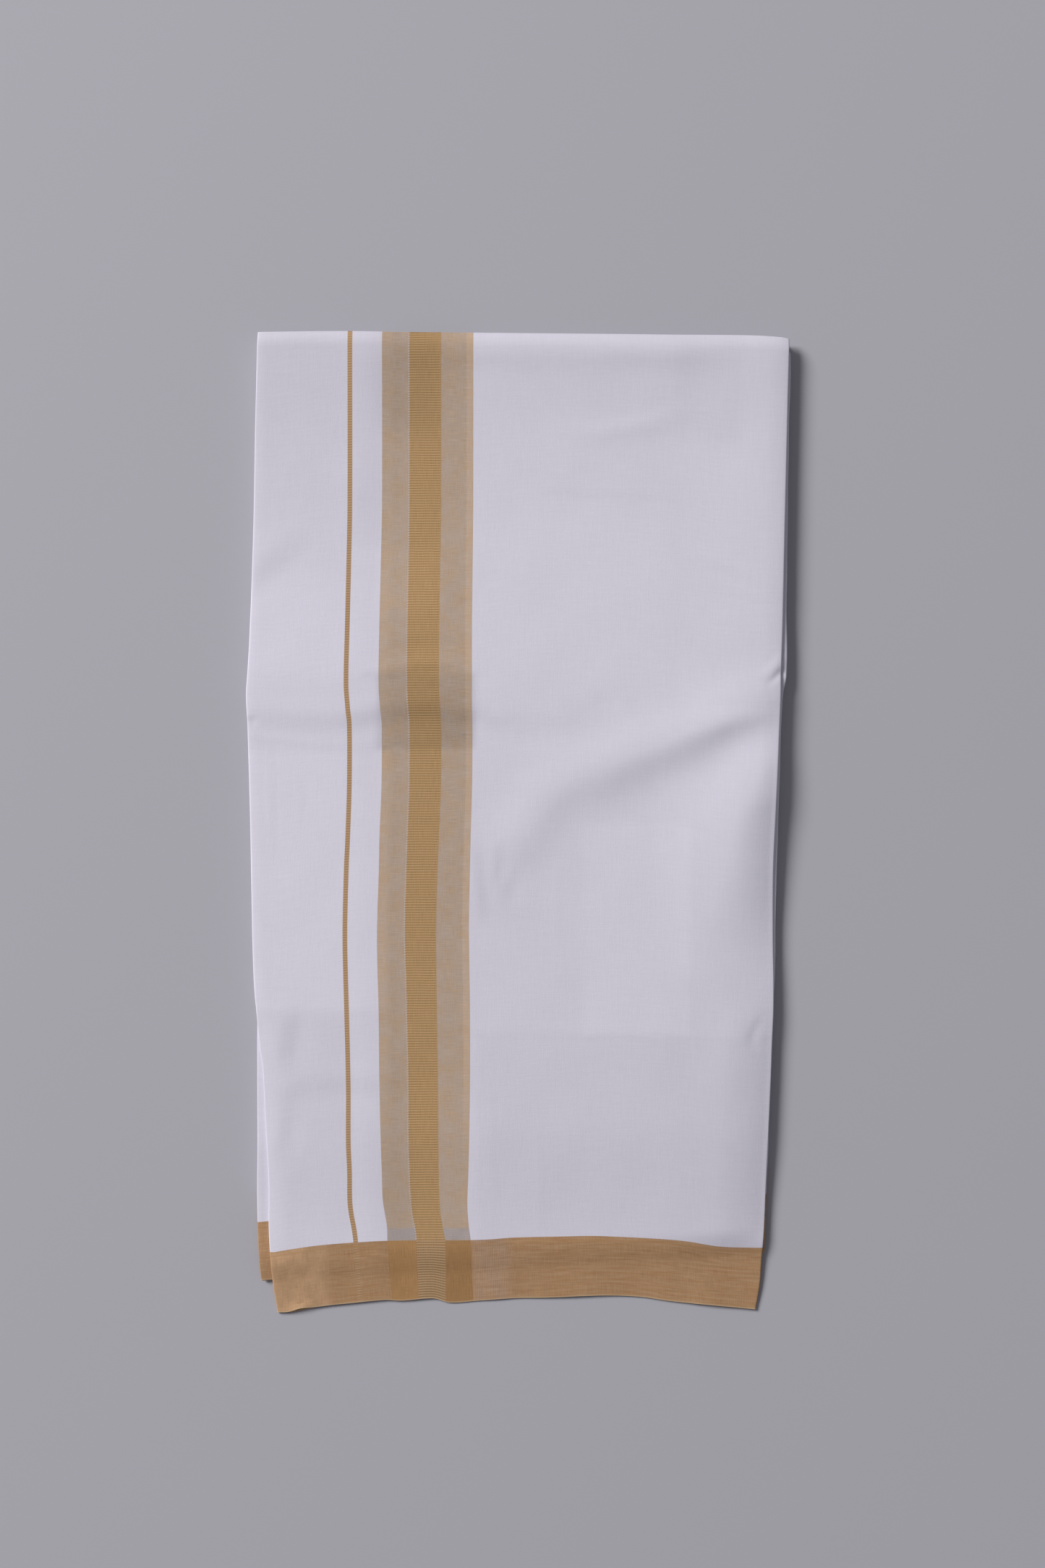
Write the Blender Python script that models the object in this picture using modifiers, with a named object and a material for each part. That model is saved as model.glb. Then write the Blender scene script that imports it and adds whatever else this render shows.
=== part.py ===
"""Folded cotton dhoti, lying flat on a table.

One woven length with nothing sewn on it. It is folded in half from selvedge
to selvedge, so its long fold is at +Y and both selvedges are at -Y, and then
crosswise into ten leaves of two plies each, with its first end turned under
at the left. The solids are the leaf on top with that end flap, the folded
leaf that peeks out below it, the hidden leaves as one rounded solid whose
edges are layered, and the leaf that lies on the table.

Sizes are in millimetres and become metres where points are made. +Z is up,
and the origin is on the table in the middle of the footprint.
"""

import bisect
import math
from collections import namedtuple

import bmesh
import bpy

MM = 0.001

# The cloth's width, which is folded in half, and the width of a leaf
CLOTH_WIDTH = 1270.0
LEAF_WIDTH = 356.0
TURNED_UNDER = 60.0
EVEN_SIDE = LEAF_WIDTH / 2.0
EVEN_END = CLOTH_WIDTH / 4.0

# A leaf is two plies that lie together, one wall here
LEAF_WALL = 1.2
GAP = 0.35
FOLD_RADIUS = 0.8
LEAF_PITCH = 2.0 * FOLD_RADIUS
FOLD_INSET = FOLD_RADIUS + LEAF_WALL / 2.0
LONG_FOLD_WALL = 0.45

# Heights of the stack, from the table up
SEAM_GAP = 0.3
HIDDEN_BASE = LEAF_WALL + SEAM_GAP
HIDDEN_LAYER = 1.4
EVEN_LAYERS = 3
HIDDEN_SHOULDER = HIDDEN_BASE + HIDDEN_LAYER * EVEN_LAYERS
HIDDEN_TOP = HIDDEN_SHOULDER + LEAF_PITCH
RESTING_MIDDLE = GAP + LEAF_WALL / 2.0

# Towards the hem the leaves are pressed thinner, and each hangs over the last
THIN_START = -195.0
THIN_END = -268.0
THIN_SHARE = 0.33
HIDDEN_SET_BACK = 16.0
BOTTOM_SET_BACK = 13.5
SAG_LENGTH = 16.0
OVERHANG_SAG_SHARE = 0.8

# The folded edges of the top leaf stand a little higher than its middle
FLAP_REACH = 62.0
FLAP_EASE = 36.0
RETURN_REACH = 7.0
RETURN_EASE = 30.0
RETURN_MARGIN = 2.0
CREST_HEIGHT = 0.8
CREST_PLACE = 17.0
ROLL_WIDTH = 10.0
ROLL_DROP = 3.0
LOWER_LEAF_SET_BACK = 8.0

# The flap's hem shows just below the leaf's hem by the fold, and is set back further in
FLAP_HEM_SHOWS = 1.1
FLAP_HEM_SHOWS_BY = 6.0
FLAP_HEM_SET_BACK = 6.0
FLAP_HEM_SET_BACK_FROM = 22.0

WHITE_COTTON = (0.54, 0.515, 0.60)
SHADED_COTTON = (0.47, 0.45, 0.53)
COTTON_ROUGHNESS = 0.85

Side = namedtuple("Side", "y left_in right_in")
Edge = namedtuple("Edge", "x out")
Groove = namedtuple("Groove", "x y depth")
Ripple = namedtuple("Ripple", "x width lift")
Layer = namedtuple("Layer", "low high left_in right_in fold_in hem_in")
Station = namedtuple("Station", "share inset lift on_top")
Leaf = namedtuple("Leaf", "left right hem end height")

# How far in the top leaf's left and right folds lie from the even sides
TOP_LEAF_SIDES = [
    Side(-319.0, 19.2, 22.5),
    Side(-304.0, 16.9, 20.0),
    Side(-290.0, 15.8, 19.0),
    Side(-265.0, 14.4, 17.5),
    Side(-237.0, 14.5, 16.4),
    Side(-190.0, 12.2, 14.3),
    Side(-161.0, 10.7, 13.1),
    Side(-143.0, 8.4, 12.5),
    Side(-124.0, 6.7, 11.7),
    Side(-105.0, 5.1, 11.5),
    Side(-76.0, 4.1, 11.9),
    Side(-29.0, 3.2, 11.8),
    Side(8.0, 2.5, 10.3),
    Side(65.0, 0.8, 7.8),
    Side(84.0, -0.1, 7.1),
    Side(98.0, 0.8, 6.9),
    Side(122.0, 2.2, 6.0),
    Side(188.0, 4.6, 4.5),
    Side(264.0, 6.0, 2.7),
    Side(321.0, 7.4, 1.3),
]

# The same for the leaf below it, which peeks out at the right and at the left of the hem
LOWER_LEAF_SIDES = [
    Side(-301.0, 8.9, 17.0),
    Side(-283.0, 7.8, 16.3),
    Side(-263.0, 7.0, 16.0),
    Side(-237.0, 6.8, 15.1),
    Side(-190.0, 7.0, 13.5),
    Side(-143.0, 7.0, 12.1),
    Side(-124.0, 7.0, 11.4),
    Side(-105.0, 6.7, 10.1),
    Side(-76.0, 6.0, 9.7),
    Side(-29.0, 5.2, 8.8),
    Side(27.0, 4.5, 7.4),
    Side(65.0, 3.0, 6.0),
    Side(85.0, 2.5, 4.8),
    Side(96.0, 2.8, 2.6),
    Side(150.0, 5.0, 2.4),
    Side(254.0, 7.5, 1.0),
    Side(300.0, 8.0, -0.1),
    Side(319.0, 9.0, 0.3),
]

# How far out the hems and the long fold lie from the even ends
TOP_LEAF_HEM = [
    Edge(-160.0, 4.2),
    Edge(-150.0, 4.0),
    Edge(-130.0, 0.3),
    Edge(-108.5, -2.0),
    Edge(-88.0, -3.9),
    Edge(-77.0, -3.4),
    Edge(-56.0, -4.9),
    Edge(-45.5, -2.0),
    Edge(-25.0, -3.4),
    Edge(-4.0, -4.9),
    Edge(17.0, -5.3),
    Edge(54.0, -6.8),
    Edge(80.0, -5.8),
    Edge(100.5, -3.0),
    Edge(132.0, -0.1),
    Edge(158.0, 2.5),
]
LOWER_LEAF_HEM = [
    Edge(-171.0, -16.8),
    Edge(162.0, -34.4),
]
LONG_FOLD = [
    Edge(-172.0, 3.5),
    Edge(-120.0, 4.1),
    Edge(-95.0, 4.0),
    Edge(0.0, 3.1),
    Edge(90.0, 2.2),
    Edge(150.0, 1.4),
    Edge(172.0, 0.1),
    Edge(178.0, -1.1),
]

# The deepest crease of the top leaf, from its right fold to its middle
CREASE = [
    Groove(166.0, 70.0, 0.9),
    Groove(143.0, 63.0, 1.2),
    Groove(119.0, 54.0, 1.4),
    Groove(96.0, 44.5, 1.4),
    Groove(73.0, 36.5, 1.3),
    Groove(49.5, 28.5, 1.3),
    Groove(31.0, 19.0, 1.2),
    Groove(19.0, 5.0, 1.1),
    Groove(16.0, -17.0, 1.0),
    Groove(3.0, -34.0, 0.8),
    Groove(-20.0, -46.0, 0.4),
]
CREASE_HALF_WIDTH = 11.0
SWELL_HALF_WIDTH = 52.0

# Where the hanging hem of the top leaf lifts off the table
HEM_RIPPLES = [
    Ripple(-63.0, 13.0, 1.3),
    Ripple(-14.0, 11.0, 0.8),
    Ripple(40.0, 27.0, 1.7),
    Ripple(92.0, 11.0, 0.6),
    Ripple(128.0, 14.0, 0.9),
]
RIPPLE_REACH = 26.0

# How far in each hidden layer lies from the lower leaf's sides, the long fold and the hem
HIDDEN_EDGES = [
    Layer(0, 1, 1.6, 2.6, 3.6, 2.2),
    Layer(1, 2, 0.7, 1.3, 2.0, 0.8),
    Layer(2, 3, 2.1, 0.8, 4.4, 1.6),
    Layer(3, 4, 9.5, 9.5, 11.5, 0.0),
]
BOTTOM_EDGES = [
    Layer(0, 1, 1.2, 1.8, 2.6, 0.0),
]
LAYER_GROOVE = 1.5
EDGE_ROUNDING = 0.35
ROUND_EDGE = ((0.22, EDGE_ROUNDING), (0.5, 0.0), (0.78, EDGE_ROUNDING))
CORNER_RADIUS = 4.0
CORNER_STEPS = 3
SIDE_STEPS = 15
END_STEPS = 9

# Grid lines of the leaves: (from, to, steps), as shares of a leaf's width and length
FOLD_STEPS = 6
FLAP_STEPS = 5
TOP_LEAF_COLUMNS = ((0.0, 0.18, 3), (0.18, 0.30, 4), (0.30, 0.45, 3), (0.45, 0.88, 13), (0.88, 1.0, 4))
TOP_LEAF_ROWS = ((0.0, 0.09, 14), (0.09, 0.40, 6), (0.40, 0.62, 12), (0.62, 0.965, 6), (0.965, 1.0, 6))
LOWER_LEAF_COLUMNS = ((0.0, 0.12, 4), (0.12, 0.88, 6), (0.88, 1.0, 4))
LOWER_LEAF_ROWS = ((0.0, 0.06, 10), (0.06, 0.17, 4), (0.17, 0.96, 12), (0.96, 1.0, 2))
SETTLING_ROUNDS = 3


def mix(start, end, share):
    """The value that lies share of the way from start to end."""
    return start + (end - start) * share


def ease(share):
    """A soft step: 0 up to 0, 1 from 1 on, and level at both ends."""
    share = min(max(share, 0.0), 1.0)
    return share * share * (3.0 - 2.0 * share)


def curve(points):
    """A smooth line through (place, value) points, as a function of place."""
    places = [point[0] for point in points]
    values = [point[1] for point in points]
    last = len(points) - 1
    slopes = []
    for index in range(len(points)):
        before = max(index - 1, 0)
        after = min(index + 1, last)
        slopes.append((values[after] - values[before]) / (places[after] - places[before]))

    def value_at(place):
        place = min(max(place, places[0]), places[last])
        index = min(bisect.bisect_right(places, place), last) - 1
        span = places[index + 1] - places[index]
        share = (place - places[index]) / span
        left_over = 1.0 - share
        start = values[index] * (1.0 + 2.0 * share) * left_over ** 2
        end = values[index + 1] * (3.0 - 2.0 * share) * share ** 2
        leaving = slopes[index] * span * share * left_over ** 2
        arriving = slopes[index + 1] * span * left_over * share ** 2
        return start + end + leaving - arriving

    return value_at


top_left = curve([(row.y, row.left_in - EVEN_SIDE) for row in TOP_LEAF_SIDES])
top_right = curve([(row.y, EVEN_SIDE - row.right_in) for row in TOP_LEAF_SIDES])
lower_left = curve([(row.y, row.left_in - EVEN_SIDE) for row in LOWER_LEAF_SIDES])
lower_right = curve([(row.y, EVEN_SIDE - row.right_in) for row in LOWER_LEAF_SIDES])
top_hem = curve([(row.x, -EVEN_END - row.out) for row in TOP_LEAF_HEM])
lower_hem = curve([(row.x, -EVEN_END - row.out) for row in LOWER_LEAF_HEM])
long_fold = curve([(row.x, EVEN_END + row.out) for row in LONG_FOLD])


def hidden_height(layers, y):
    """Height of a count of hidden layers: even ones pressed thinner by the hem, then a filling one."""
    pressed = ease((THIN_START - y) / (THIN_START - THIN_END))
    even = min(layers, EVEN_LAYERS) * HIDDEN_LAYER
    filling = max(layers - EVEN_LAYERS, 0.0) * LEAF_PITCH
    return HIDDEN_BASE + even * mix(1.0, THIN_SHARE, pressed) + filling


def bottom_height(layers, y):
    """Height in the bottom leaf, which is the same all over."""
    return layers * LEAF_WALL


def past_hidden_leaves(x, y):
    """How far a place lies past the hem of the hidden leaves, 0 to 1 along the sag."""
    return ease((lower_hem(x) + HIDDEN_SET_BACK - y) / SAG_LENGTH)


def lower_leaf_base(x, y):
    """Middle of the lower leaf's turned-back wall, down to the table past the hidden leaves."""
    on_stack = hidden_height(len(HIDDEN_EDGES), y) + RESTING_MIDDLE - LEAF_PITCH
    return mix(on_stack, RESTING_MIDDLE, past_hidden_leaves(x, y))


def lower_leaf_rise(x, y):
    """How far the lower leaf's top wall lies above its turned-back wall."""
    from_fold = min(x - lower_left(y), lower_right(y) - x)
    by_fold = 1.0 - ease((from_fold - RETURN_REACH) / RETURN_EASE)
    return LEAF_PITCH * mix(1.0, by_fold, past_hidden_leaves(x, y))


def top_leaf_base(x, y):
    """Middle of the wall that rests on the lower leaf, and on the table past its hem."""
    on_leaf = lower_leaf_base(x, y) + lower_leaf_rise(x, y) + LEAF_PITCH
    overhang = lower_hem(x) - top_hem(x)
    past_leaf = (lower_hem(x) - y) / (OVERHANG_SAG_SHARE * overhang)
    return mix(on_leaf, RESTING_MIDDLE, ease(past_leaf))


def nearest_on_crease(x, y):
    """Distance to the deepest crease, and its depth there."""
    found = []
    for start, end in zip(CREASE, CREASE[1:]):
        run = (end.x - start.x, end.y - start.y)
        share = ((x - start.x) * run[0] + (y - start.y) * run[1]) / (run[0] ** 2 + run[1] ** 2)
        share = min(max(share, 0.0), 1.0)
        distance = math.hypot(x - mix(start.x, end.x, share), y - mix(start.y, end.y, share))
        found.append((distance, mix(start.depth, end.depth, share)))
    return min(found)


def crease_relief(x, y):
    """The cloth swells beside the deepest crease, and the crease itself lies on the leaf below."""
    distance, depth = nearest_on_crease(x, y)
    swell = 1.0 - ease(distance / SWELL_HALF_WIDTH)
    groove = 1.0 - ease(distance / CREASE_HALF_WIDTH)
    return depth * (swell - groove)


def hem_lift(x, y):
    """How far the hanging hem stands off the table in its ripples."""
    near_hem = 1.0 - ease((y - top_hem(x)) / RIPPLE_REACH)
    lift = sum(ripple.lift * math.exp(-((x - ripple.x) / ripple.width) ** 2) for ripple in HEM_RIPPLES)
    return lift * near_hem


def top_leaf_height(x, y, station):
    """Height of the middle of the top leaf's wall at one of its stations."""
    height = top_leaf_base(x, y) + hem_lift(x, y)
    from_long_fold = long_fold(x) - y
    if station.on_top:
        over_flap = 1.0 - ease((x - top_left(y) - FLAP_REACH) / FLAP_EASE)
        from_return = top_right(y) - x - RETURN_REACH - RETURN_MARGIN
        over_return = 1.0 - ease(from_return / RETURN_EASE)
        by_fold = max(over_flap, over_return)
        crest = CREST_HEIGHT * math.exp(-((from_long_fold - CREST_PLACE) / ROLL_WIDTH) ** 2)
        height += mix(crest + crease_relief(x, y), LEAF_PITCH, by_fold)
    else:
        height += station.lift
    rolled = max(1.0 - from_long_fold / ROLL_WIDTH, 0.0)
    return height - ROLL_DROP * rolled ** 2


def lower_leaf_height(x, y, station):
    """Height of the middle of the lower leaf's wall at one of its stations."""
    rise = lower_leaf_rise(x, y) if station.on_top else station.lift
    return lower_leaf_base(x, y) + rise


def top_leaf_hem(x, station):
    """Hem of the top leaf, and of the flap that is turned under it."""
    if station.on_top or station.share > 0.0:
        return top_hem(x)
    from_fold = max(station.inset, 0.0)
    shows = FLAP_HEM_SHOWS * ease(from_fold / FLAP_HEM_SHOWS_BY)
    set_back = ease((from_fold - FLAP_HEM_SET_BACK_FROM) / (TURNED_UNDER - FLAP_HEM_SET_BACK_FROM))
    return top_hem(x) - shows + FLAP_HEM_SET_BACK * set_back


def lower_leaf_hem(x, station):
    """Hem of the lower leaf, the same on all its walls."""
    return lower_hem(x)


def lower_leaf_end(x):
    """The lower leaf's long fold, set back under the top leaf's."""
    return long_fold(x) - LOWER_LEAF_SET_BACK


TOP_LEAF = Leaf(top_left, top_right, top_leaf_hem, long_fold, top_leaf_height)
LOWER_LEAF = Leaf(lower_left, lower_right, lower_leaf_hem, lower_leaf_end, lower_leaf_height)


def spread(pieces):
    """Places from 0 to 1, evenly spaced inside each (from, to, steps) piece."""
    places = [pieces[0][0]]
    for start, end, steps in pieces:
        places += [mix(start, end, (step + 1) / steps) for step in range(steps)]
    return places


def leaf_stations(left_reach, left_steps, columns):
    """Stations round a leaf: turned under at the left, over the top, and back at the right."""
    stations = []
    for step in range(left_steps):
        stations.append(Station(0.0, mix(left_reach, 0.0, step / left_steps), 0.0, False))
    for step in range(FOLD_STEPS):
        turn = math.pi * step / FOLD_STEPS
        lift = FOLD_RADIUS * (1.0 - math.cos(turn))
        stations.append(Station(0.0, -FOLD_RADIUS * math.sin(turn), lift, False))
    for share in spread(columns):
        stations.append(Station(share, 0.0, LEAF_PITCH, True))
    for step in range(1, FOLD_STEPS + 1):
        turn = math.pi * step / FOLD_STEPS
        lift = FOLD_RADIUS * (1.0 + math.cos(turn))
        stations.append(Station(1.0, FOLD_RADIUS * math.sin(turn), lift, False))
    stations.append(Station(1.0, -RETURN_REACH, 0.0, False))
    return stations


def leaf_point(leaf, station, along):
    """The point of a leaf's middle surface at a station, a share of the way from hem to end."""
    y = mix(-EVEN_END, EVEN_END, along)
    for _ in range(SETTLING_ROUNDS):
        x = mix(leaf.left(y) + FOLD_INSET, leaf.right(y) - FOLD_INSET, station.share) + station.inset
        y = mix(leaf.hem(x, station), leaf.end(x), along)
    return (x * MM, y * MM, leaf.height(x, y, station) * MM)


def leaf_object(name, leaf, stations, rows, material, home):
    """A folded leaf: a grid bent round its section, made a wall by Solidify."""
    places = spread(rows)
    columns = len(stations) - 1
    steps = len(places) - 1
    bpy.ops.mesh.primitive_grid_add(x_subdivisions=columns, y_subdivisions=steps, size=1.0)
    sheet = bpy.context.object
    sheet.name = name
    sheet.data.name = name
    thickness = sheet.vertex_groups.new(name="Wall thickness")
    for vertex in sheet.data.vertices:
        column = round((vertex.co.x + 0.5) * columns)
        row = round((vertex.co.y + 0.5) * steps)
        vertex.co = leaf_point(leaf, stations[column], places[row])
        thickness.add([vertex.index], LONG_FOLD_WALL if row == steps else 1.0, "REPLACE")
    wall = sheet.modifiers.new("Leaf wall", "SOLIDIFY")
    wall.thickness = LEAF_WALL * MM
    wall.offset = 0.0
    wall.use_even_offset = True
    wall.use_quality_normals = True
    wall.vertex_group = thickness.name
    sheet.data.materials.append(material)
    sheet.data.shade_smooth()
    for collection in list(sheet.users_collection):
        collection.objects.unlink(sheet)
    home.objects.link(sheet)


def ring_places():
    """Places round a rectangle with round corners, as shares of its width and length.

    They run up the right side, along the long fold, down the left side and along the hem.
    """
    wide = CORNER_RADIUS / LEAF_WIDTH
    tall = CORNER_RADIUS / (2.0 * EVEN_END)
    far_x = 1.0 - wide
    far_y = 1.0 - tall
    up = [step / SIDE_STEPS for step in range(SIDE_STEPS + 1)]
    across = [step / END_STEPS for step in range(END_STEPS + 1)]
    sides = [
        [(1.0, mix(tall, far_y, share)) for share in up],
        [(mix(far_x, wide, share), 1.0) for share in across],
        [(0.0, mix(far_y, tall, share)) for share in up],
        [(mix(wide, far_x, share), 0.0) for share in across],
    ]
    corners = [(far_x, far_y), (wide, far_y), (wide, tall), (far_x, tall)]
    places = []
    for quarter, (side, corner) in enumerate(zip(sides, corners)):
        places += side
        for step in range(1, CORNER_STEPS):
            turn = math.radians(90.0 * (quarter + step / CORNER_STEPS))
            places.append((corner[0] + wide * math.cos(turn), corner[1] + tall * math.sin(turn)))
    return places


def ring(layer, squeeze, hem_set_back, layers_up, height_at):
    """One ring of points round a layer, squeezed in from its edges."""
    points = []
    for across, along in ring_places():
        y = mix(-EVEN_END, EVEN_END, along)
        for _ in range(SETTLING_ROUNDS):
            left = lower_left(y) + layer.left_in + squeeze
            right = lower_right(y) - layer.right_in - squeeze
            x = mix(left, right, across)
            hem = lower_hem(x) + hem_set_back + layer.hem_in + squeeze
            end = long_fold(x) - layer.fold_in - squeeze
            y = mix(hem, end, along)
        points.append((x * MM, y * MM, height_at(layers_up, y) * MM))
    return points


def layered_rings(layers, hem_set_back, height_at):
    """Rings from the lowest to the highest: each layer bulges out between two grooves."""
    rings = []
    for index, layer in enumerate(layers):
        below = layers[max(index - 1, 0)]
        groove = LAYER_GROOVE if index > 0 else EDGE_ROUNDING
        neck = Layer(*[max(pair) for pair in zip(layer, below)])
        rings.append(ring(neck, groove, hem_set_back, layer.low, height_at))
        for share, squeeze in ROUND_EDGE:
            layers_up = mix(layer.low, layer.high, share)
            rings.append(ring(layer, squeeze, hem_set_back, layers_up, height_at))
    highest = layers[-1]
    rings.append(ring(highest, 2.0 * EDGE_ROUNDING, hem_set_back, highest.high, height_at))
    return rings


def close_end(shape, loop):
    """Fill a ring with strips that join its right side to its left side."""
    left_start = SIDE_STEPS + END_STEPS + 2 * CORNER_STEPS
    right = loop[:SIDE_STEPS + 1]
    left = loop[left_start:left_start + SIDE_STEPS + 1][::-1]
    shape.faces.new(loop[SIDE_STEPS:left_start + 1])
    shape.faces.new(loop[left_start + SIDE_STEPS:] + [loop[0]])
    for step in range(SIDE_STEPS):
        shape.faces.new((right[step], right[step + 1], left[step + 1], left[step]))


def layered_object(name, layers, hem_set_back, height_at, material, home):
    """A closed solid lofted through the rings of its layers."""
    shape = bmesh.new()
    loops = []
    for points in layered_rings(layers, hem_set_back, height_at):
        loops.append([shape.verts.new(point) for point in points])
    count = len(loops[0])
    for low, high in zip(loops, loops[1:]):
        for index in range(count):
            after = (index + 1) % count
            shape.faces.new((low[index], low[after], high[after], high[index]))
    close_end(shape, loops[0])
    close_end(shape, loops[-1])
    bmesh.ops.recalc_face_normals(shape, faces=shape.faces)
    mesh = bpy.data.meshes.new(name)
    shape.to_mesh(mesh)
    shape.free()
    mesh.materials.append(material)
    mesh.shade_smooth()
    home.objects.link(bpy.data.objects.new(name, mesh))


def cotton(name, colour):
    """Plain woven cotton in one colour."""
    material = bpy.data.materials.new(name)
    material.use_nodes = True
    shader = material.node_tree.nodes["Principled BSDF"]
    shader.inputs["Base Color"].default_value = (*colour, 1.0)
    shader.inputs["Roughness"].default_value = COTTON_ROUGHNESS
    shader.inputs["Metallic"].default_value = 0.0
    return material


def build():
    """Clear the scene and make the four stretches of the folded cloth."""
    for thing in list(bpy.data.objects):
        bpy.data.objects.remove(thing, do_unlink=True)
    home = bpy.data.collections.new("Folded dhoti")
    bpy.context.scene.collection.children.link(home)
    leaf_object("top_leaf", TOP_LEAF, leaf_stations(TURNED_UNDER, FLAP_STEPS, TOP_LEAF_COLUMNS),
                TOP_LEAF_ROWS, cotton("Top leaf cotton", WHITE_COTTON), home)
    leaf_object("lower_leaf", LOWER_LEAF, leaf_stations(RETURN_REACH, 1, LOWER_LEAF_COLUMNS),
                LOWER_LEAF_ROWS, cotton("Lower leaf cotton", SHADED_COTTON), home)
    layered_object("hidden_leaves", HIDDEN_EDGES, HIDDEN_SET_BACK, hidden_height,
                   cotton("Hidden leaves cotton", SHADED_COTTON), home)
    layered_object("bottom_leaf", BOTTOM_EDGES, BOTTOM_SET_BACK, bottom_height,
                   cotton("Bottom leaf cotton", WHITE_COTTON), home)


build()
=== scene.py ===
# %% [markdown]
# # A folded cotton dhoti
# A dhoti is one woven length of fine white cotton with a gold border along each
# selvedge. Here it lies folded: once in half, selvedge to selvedge, and then
# like a fan into ten leaves, with its first end turned under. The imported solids
# hold its form in four pieces. This lesson dresses each of them with thin
# cloth that is really folded in two plies, and weaves the stripes in a shader.

# %% Load the frame
import math
import random
from collections import namedtuple

import bpy
import numpy as np
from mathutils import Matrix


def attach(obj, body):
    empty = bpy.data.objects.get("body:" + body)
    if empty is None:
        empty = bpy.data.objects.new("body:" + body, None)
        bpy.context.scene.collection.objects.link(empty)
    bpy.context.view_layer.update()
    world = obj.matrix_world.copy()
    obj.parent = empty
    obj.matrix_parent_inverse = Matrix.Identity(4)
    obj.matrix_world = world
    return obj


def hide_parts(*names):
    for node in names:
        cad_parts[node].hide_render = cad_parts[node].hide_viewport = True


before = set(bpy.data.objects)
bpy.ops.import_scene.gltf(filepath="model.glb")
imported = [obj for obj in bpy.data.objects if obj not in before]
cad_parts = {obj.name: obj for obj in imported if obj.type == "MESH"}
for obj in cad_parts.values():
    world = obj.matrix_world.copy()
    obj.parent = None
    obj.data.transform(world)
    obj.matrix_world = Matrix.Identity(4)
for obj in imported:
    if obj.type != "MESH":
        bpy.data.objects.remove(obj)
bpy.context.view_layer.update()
bpy.ops.object.select_all(action="DESELECT")

# %% [markdown]
# ## Camera
# The cloth is seen from straight above, so the camera looks down its own -Z with
# no turn at all. A 50 mm lens on a 36 mm sensor sees 1.02 m on the long side
# from 1.42 m away, which gives the cloth its share of the picture. The lens
# stands a little above the middle of the cloth, because the cloth lies low in
# the frame.

# %% Camera
MM = 0.001
PICTURE_HEIGHT = 1024.4
LENS = 50.0
SENSOR = 36.0
CLOTH_TOP = 10.5
VIEW_X = 2.6
VIEW_Y = 25.5

camera_data = bpy.data.cameras.new("Camera")
camera_data.lens = LENS
camera_data.sensor_width = SENSOR
camera = bpy.data.objects.new("Camera", camera_data)
view_distance = PICTURE_HEIGHT * LENS / SENSOR
camera.location = (VIEW_X * MM, VIEW_Y * MM, (CLOTH_TOP + view_distance) * MM)
bpy.context.scene.collection.objects.link(camera)
bpy.context.scene.camera = camera
print("Camera", round(view_distance), "mm above the cloth")

# %% [markdown]
# ## Light and floor
# White cloth shows its creases only in raking light. One large soft lamp stands
# far away at the upper left, about 35 degrees above the floor, so the creases
# shade softly and the stack throws a short shadow to its right. The sky fills
# the shadows. Standard colours keep the white as it is, where a film look
# would grey it.

# %% Light and floor
LAMP_DISTANCE = 10.0
LAMP_SIZE = 4.3
LAMP_HEIGHT_ANGLE = math.radians(35.0)
LAMP_TURN = math.radians(145.0)
LAMP_POWER = 1025.0
SKY_COLOUR = (0.93, 0.94, 1.0)
SKY_STRENGTH = 0.21
FLOOR_SIZE = 6.0
FLOOR_COLOUR = (0.46, 0.45, 0.49)

bpy.context.scene.view_settings.view_transform = "Standard"

world = bpy.data.worlds.new("Studio")
world.use_nodes = True
world.node_tree.nodes["Background"].inputs["Color"].default_value = (*SKY_COLOUR, 1.0)
world.node_tree.nodes["Background"].inputs["Strength"].default_value = SKY_STRENGTH
bpy.context.scene.world = world

lamp_data = bpy.data.lights.new("Soft lamp", "AREA")
lamp_data.shape = "DISK"
lamp_data.size = LAMP_SIZE
lamp_data.energy = LAMP_POWER
lamp = bpy.data.objects.new("Soft lamp", lamp_data)
lamp_reach = LAMP_DISTANCE * math.cos(LAMP_HEIGHT_ANGLE)
lamp.location = (lamp_reach * math.cos(LAMP_TURN), lamp_reach * math.sin(LAMP_TURN),
                 LAMP_DISTANCE * math.sin(LAMP_HEIGHT_ANGLE))
lamp.rotation_euler = (-lamp.location).to_track_quat("-Z", "Y").to_euler()
bpy.context.scene.collection.objects.link(lamp)

bpy.ops.mesh.primitive_plane_add(size=FLOOR_SIZE)
floor = bpy.context.object
floor.name = "floor"
print("Lamp at", [round(value, 2) for value in lamp.location])

# %% [markdown]
# ## Shader maths as Python
# A shader is a graph of nodes, and long sums are hard to read as boxes and
# wires. Two small classes let a cell say what it means instead: Shader owns a
# material and adds any node, and Value wraps a socket, so that 1 - mask or
# a * b adds the Math node for it.


# %% Shader maths
class Value:
    """A number that varies over the surface: a socket that can be used in sums."""

    def __init__(self, shader, link):
        self.shader = shader
        self.link = link

    def maths(self, operation, first, second=0.0, clamp=False):
        settings = {"operation": operation, "use_clamp": clamp}
        return self.shader.add("ShaderNodeMath", settings, {0: first, 1: second})

    def __add__(self, other):
        return self.maths("ADD", self, other)

    __radd__ = __add__

    def __sub__(self, other):
        return self.maths("SUBTRACT", self, other)

    def __rsub__(self, other):
        return self.maths("SUBTRACT", other, self)

    def __mul__(self, other):
        return self.maths("MULTIPLY", self, other)

    __rmul__ = __mul__

    def __truediv__(self, other):
        return self.maths("DIVIDE", self, other)

    def __abs__(self):
        return self.maths("ABSOLUTE", self)

    def clamped(self):
        return self.maths("ADD", self, 0.0, clamp=True)

    def wave(self, period):
        """A wave from -1 to 1 with the given period, in the value's own unit."""
        return self.maths("SINE", self * (2.0 * math.pi / period))


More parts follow.
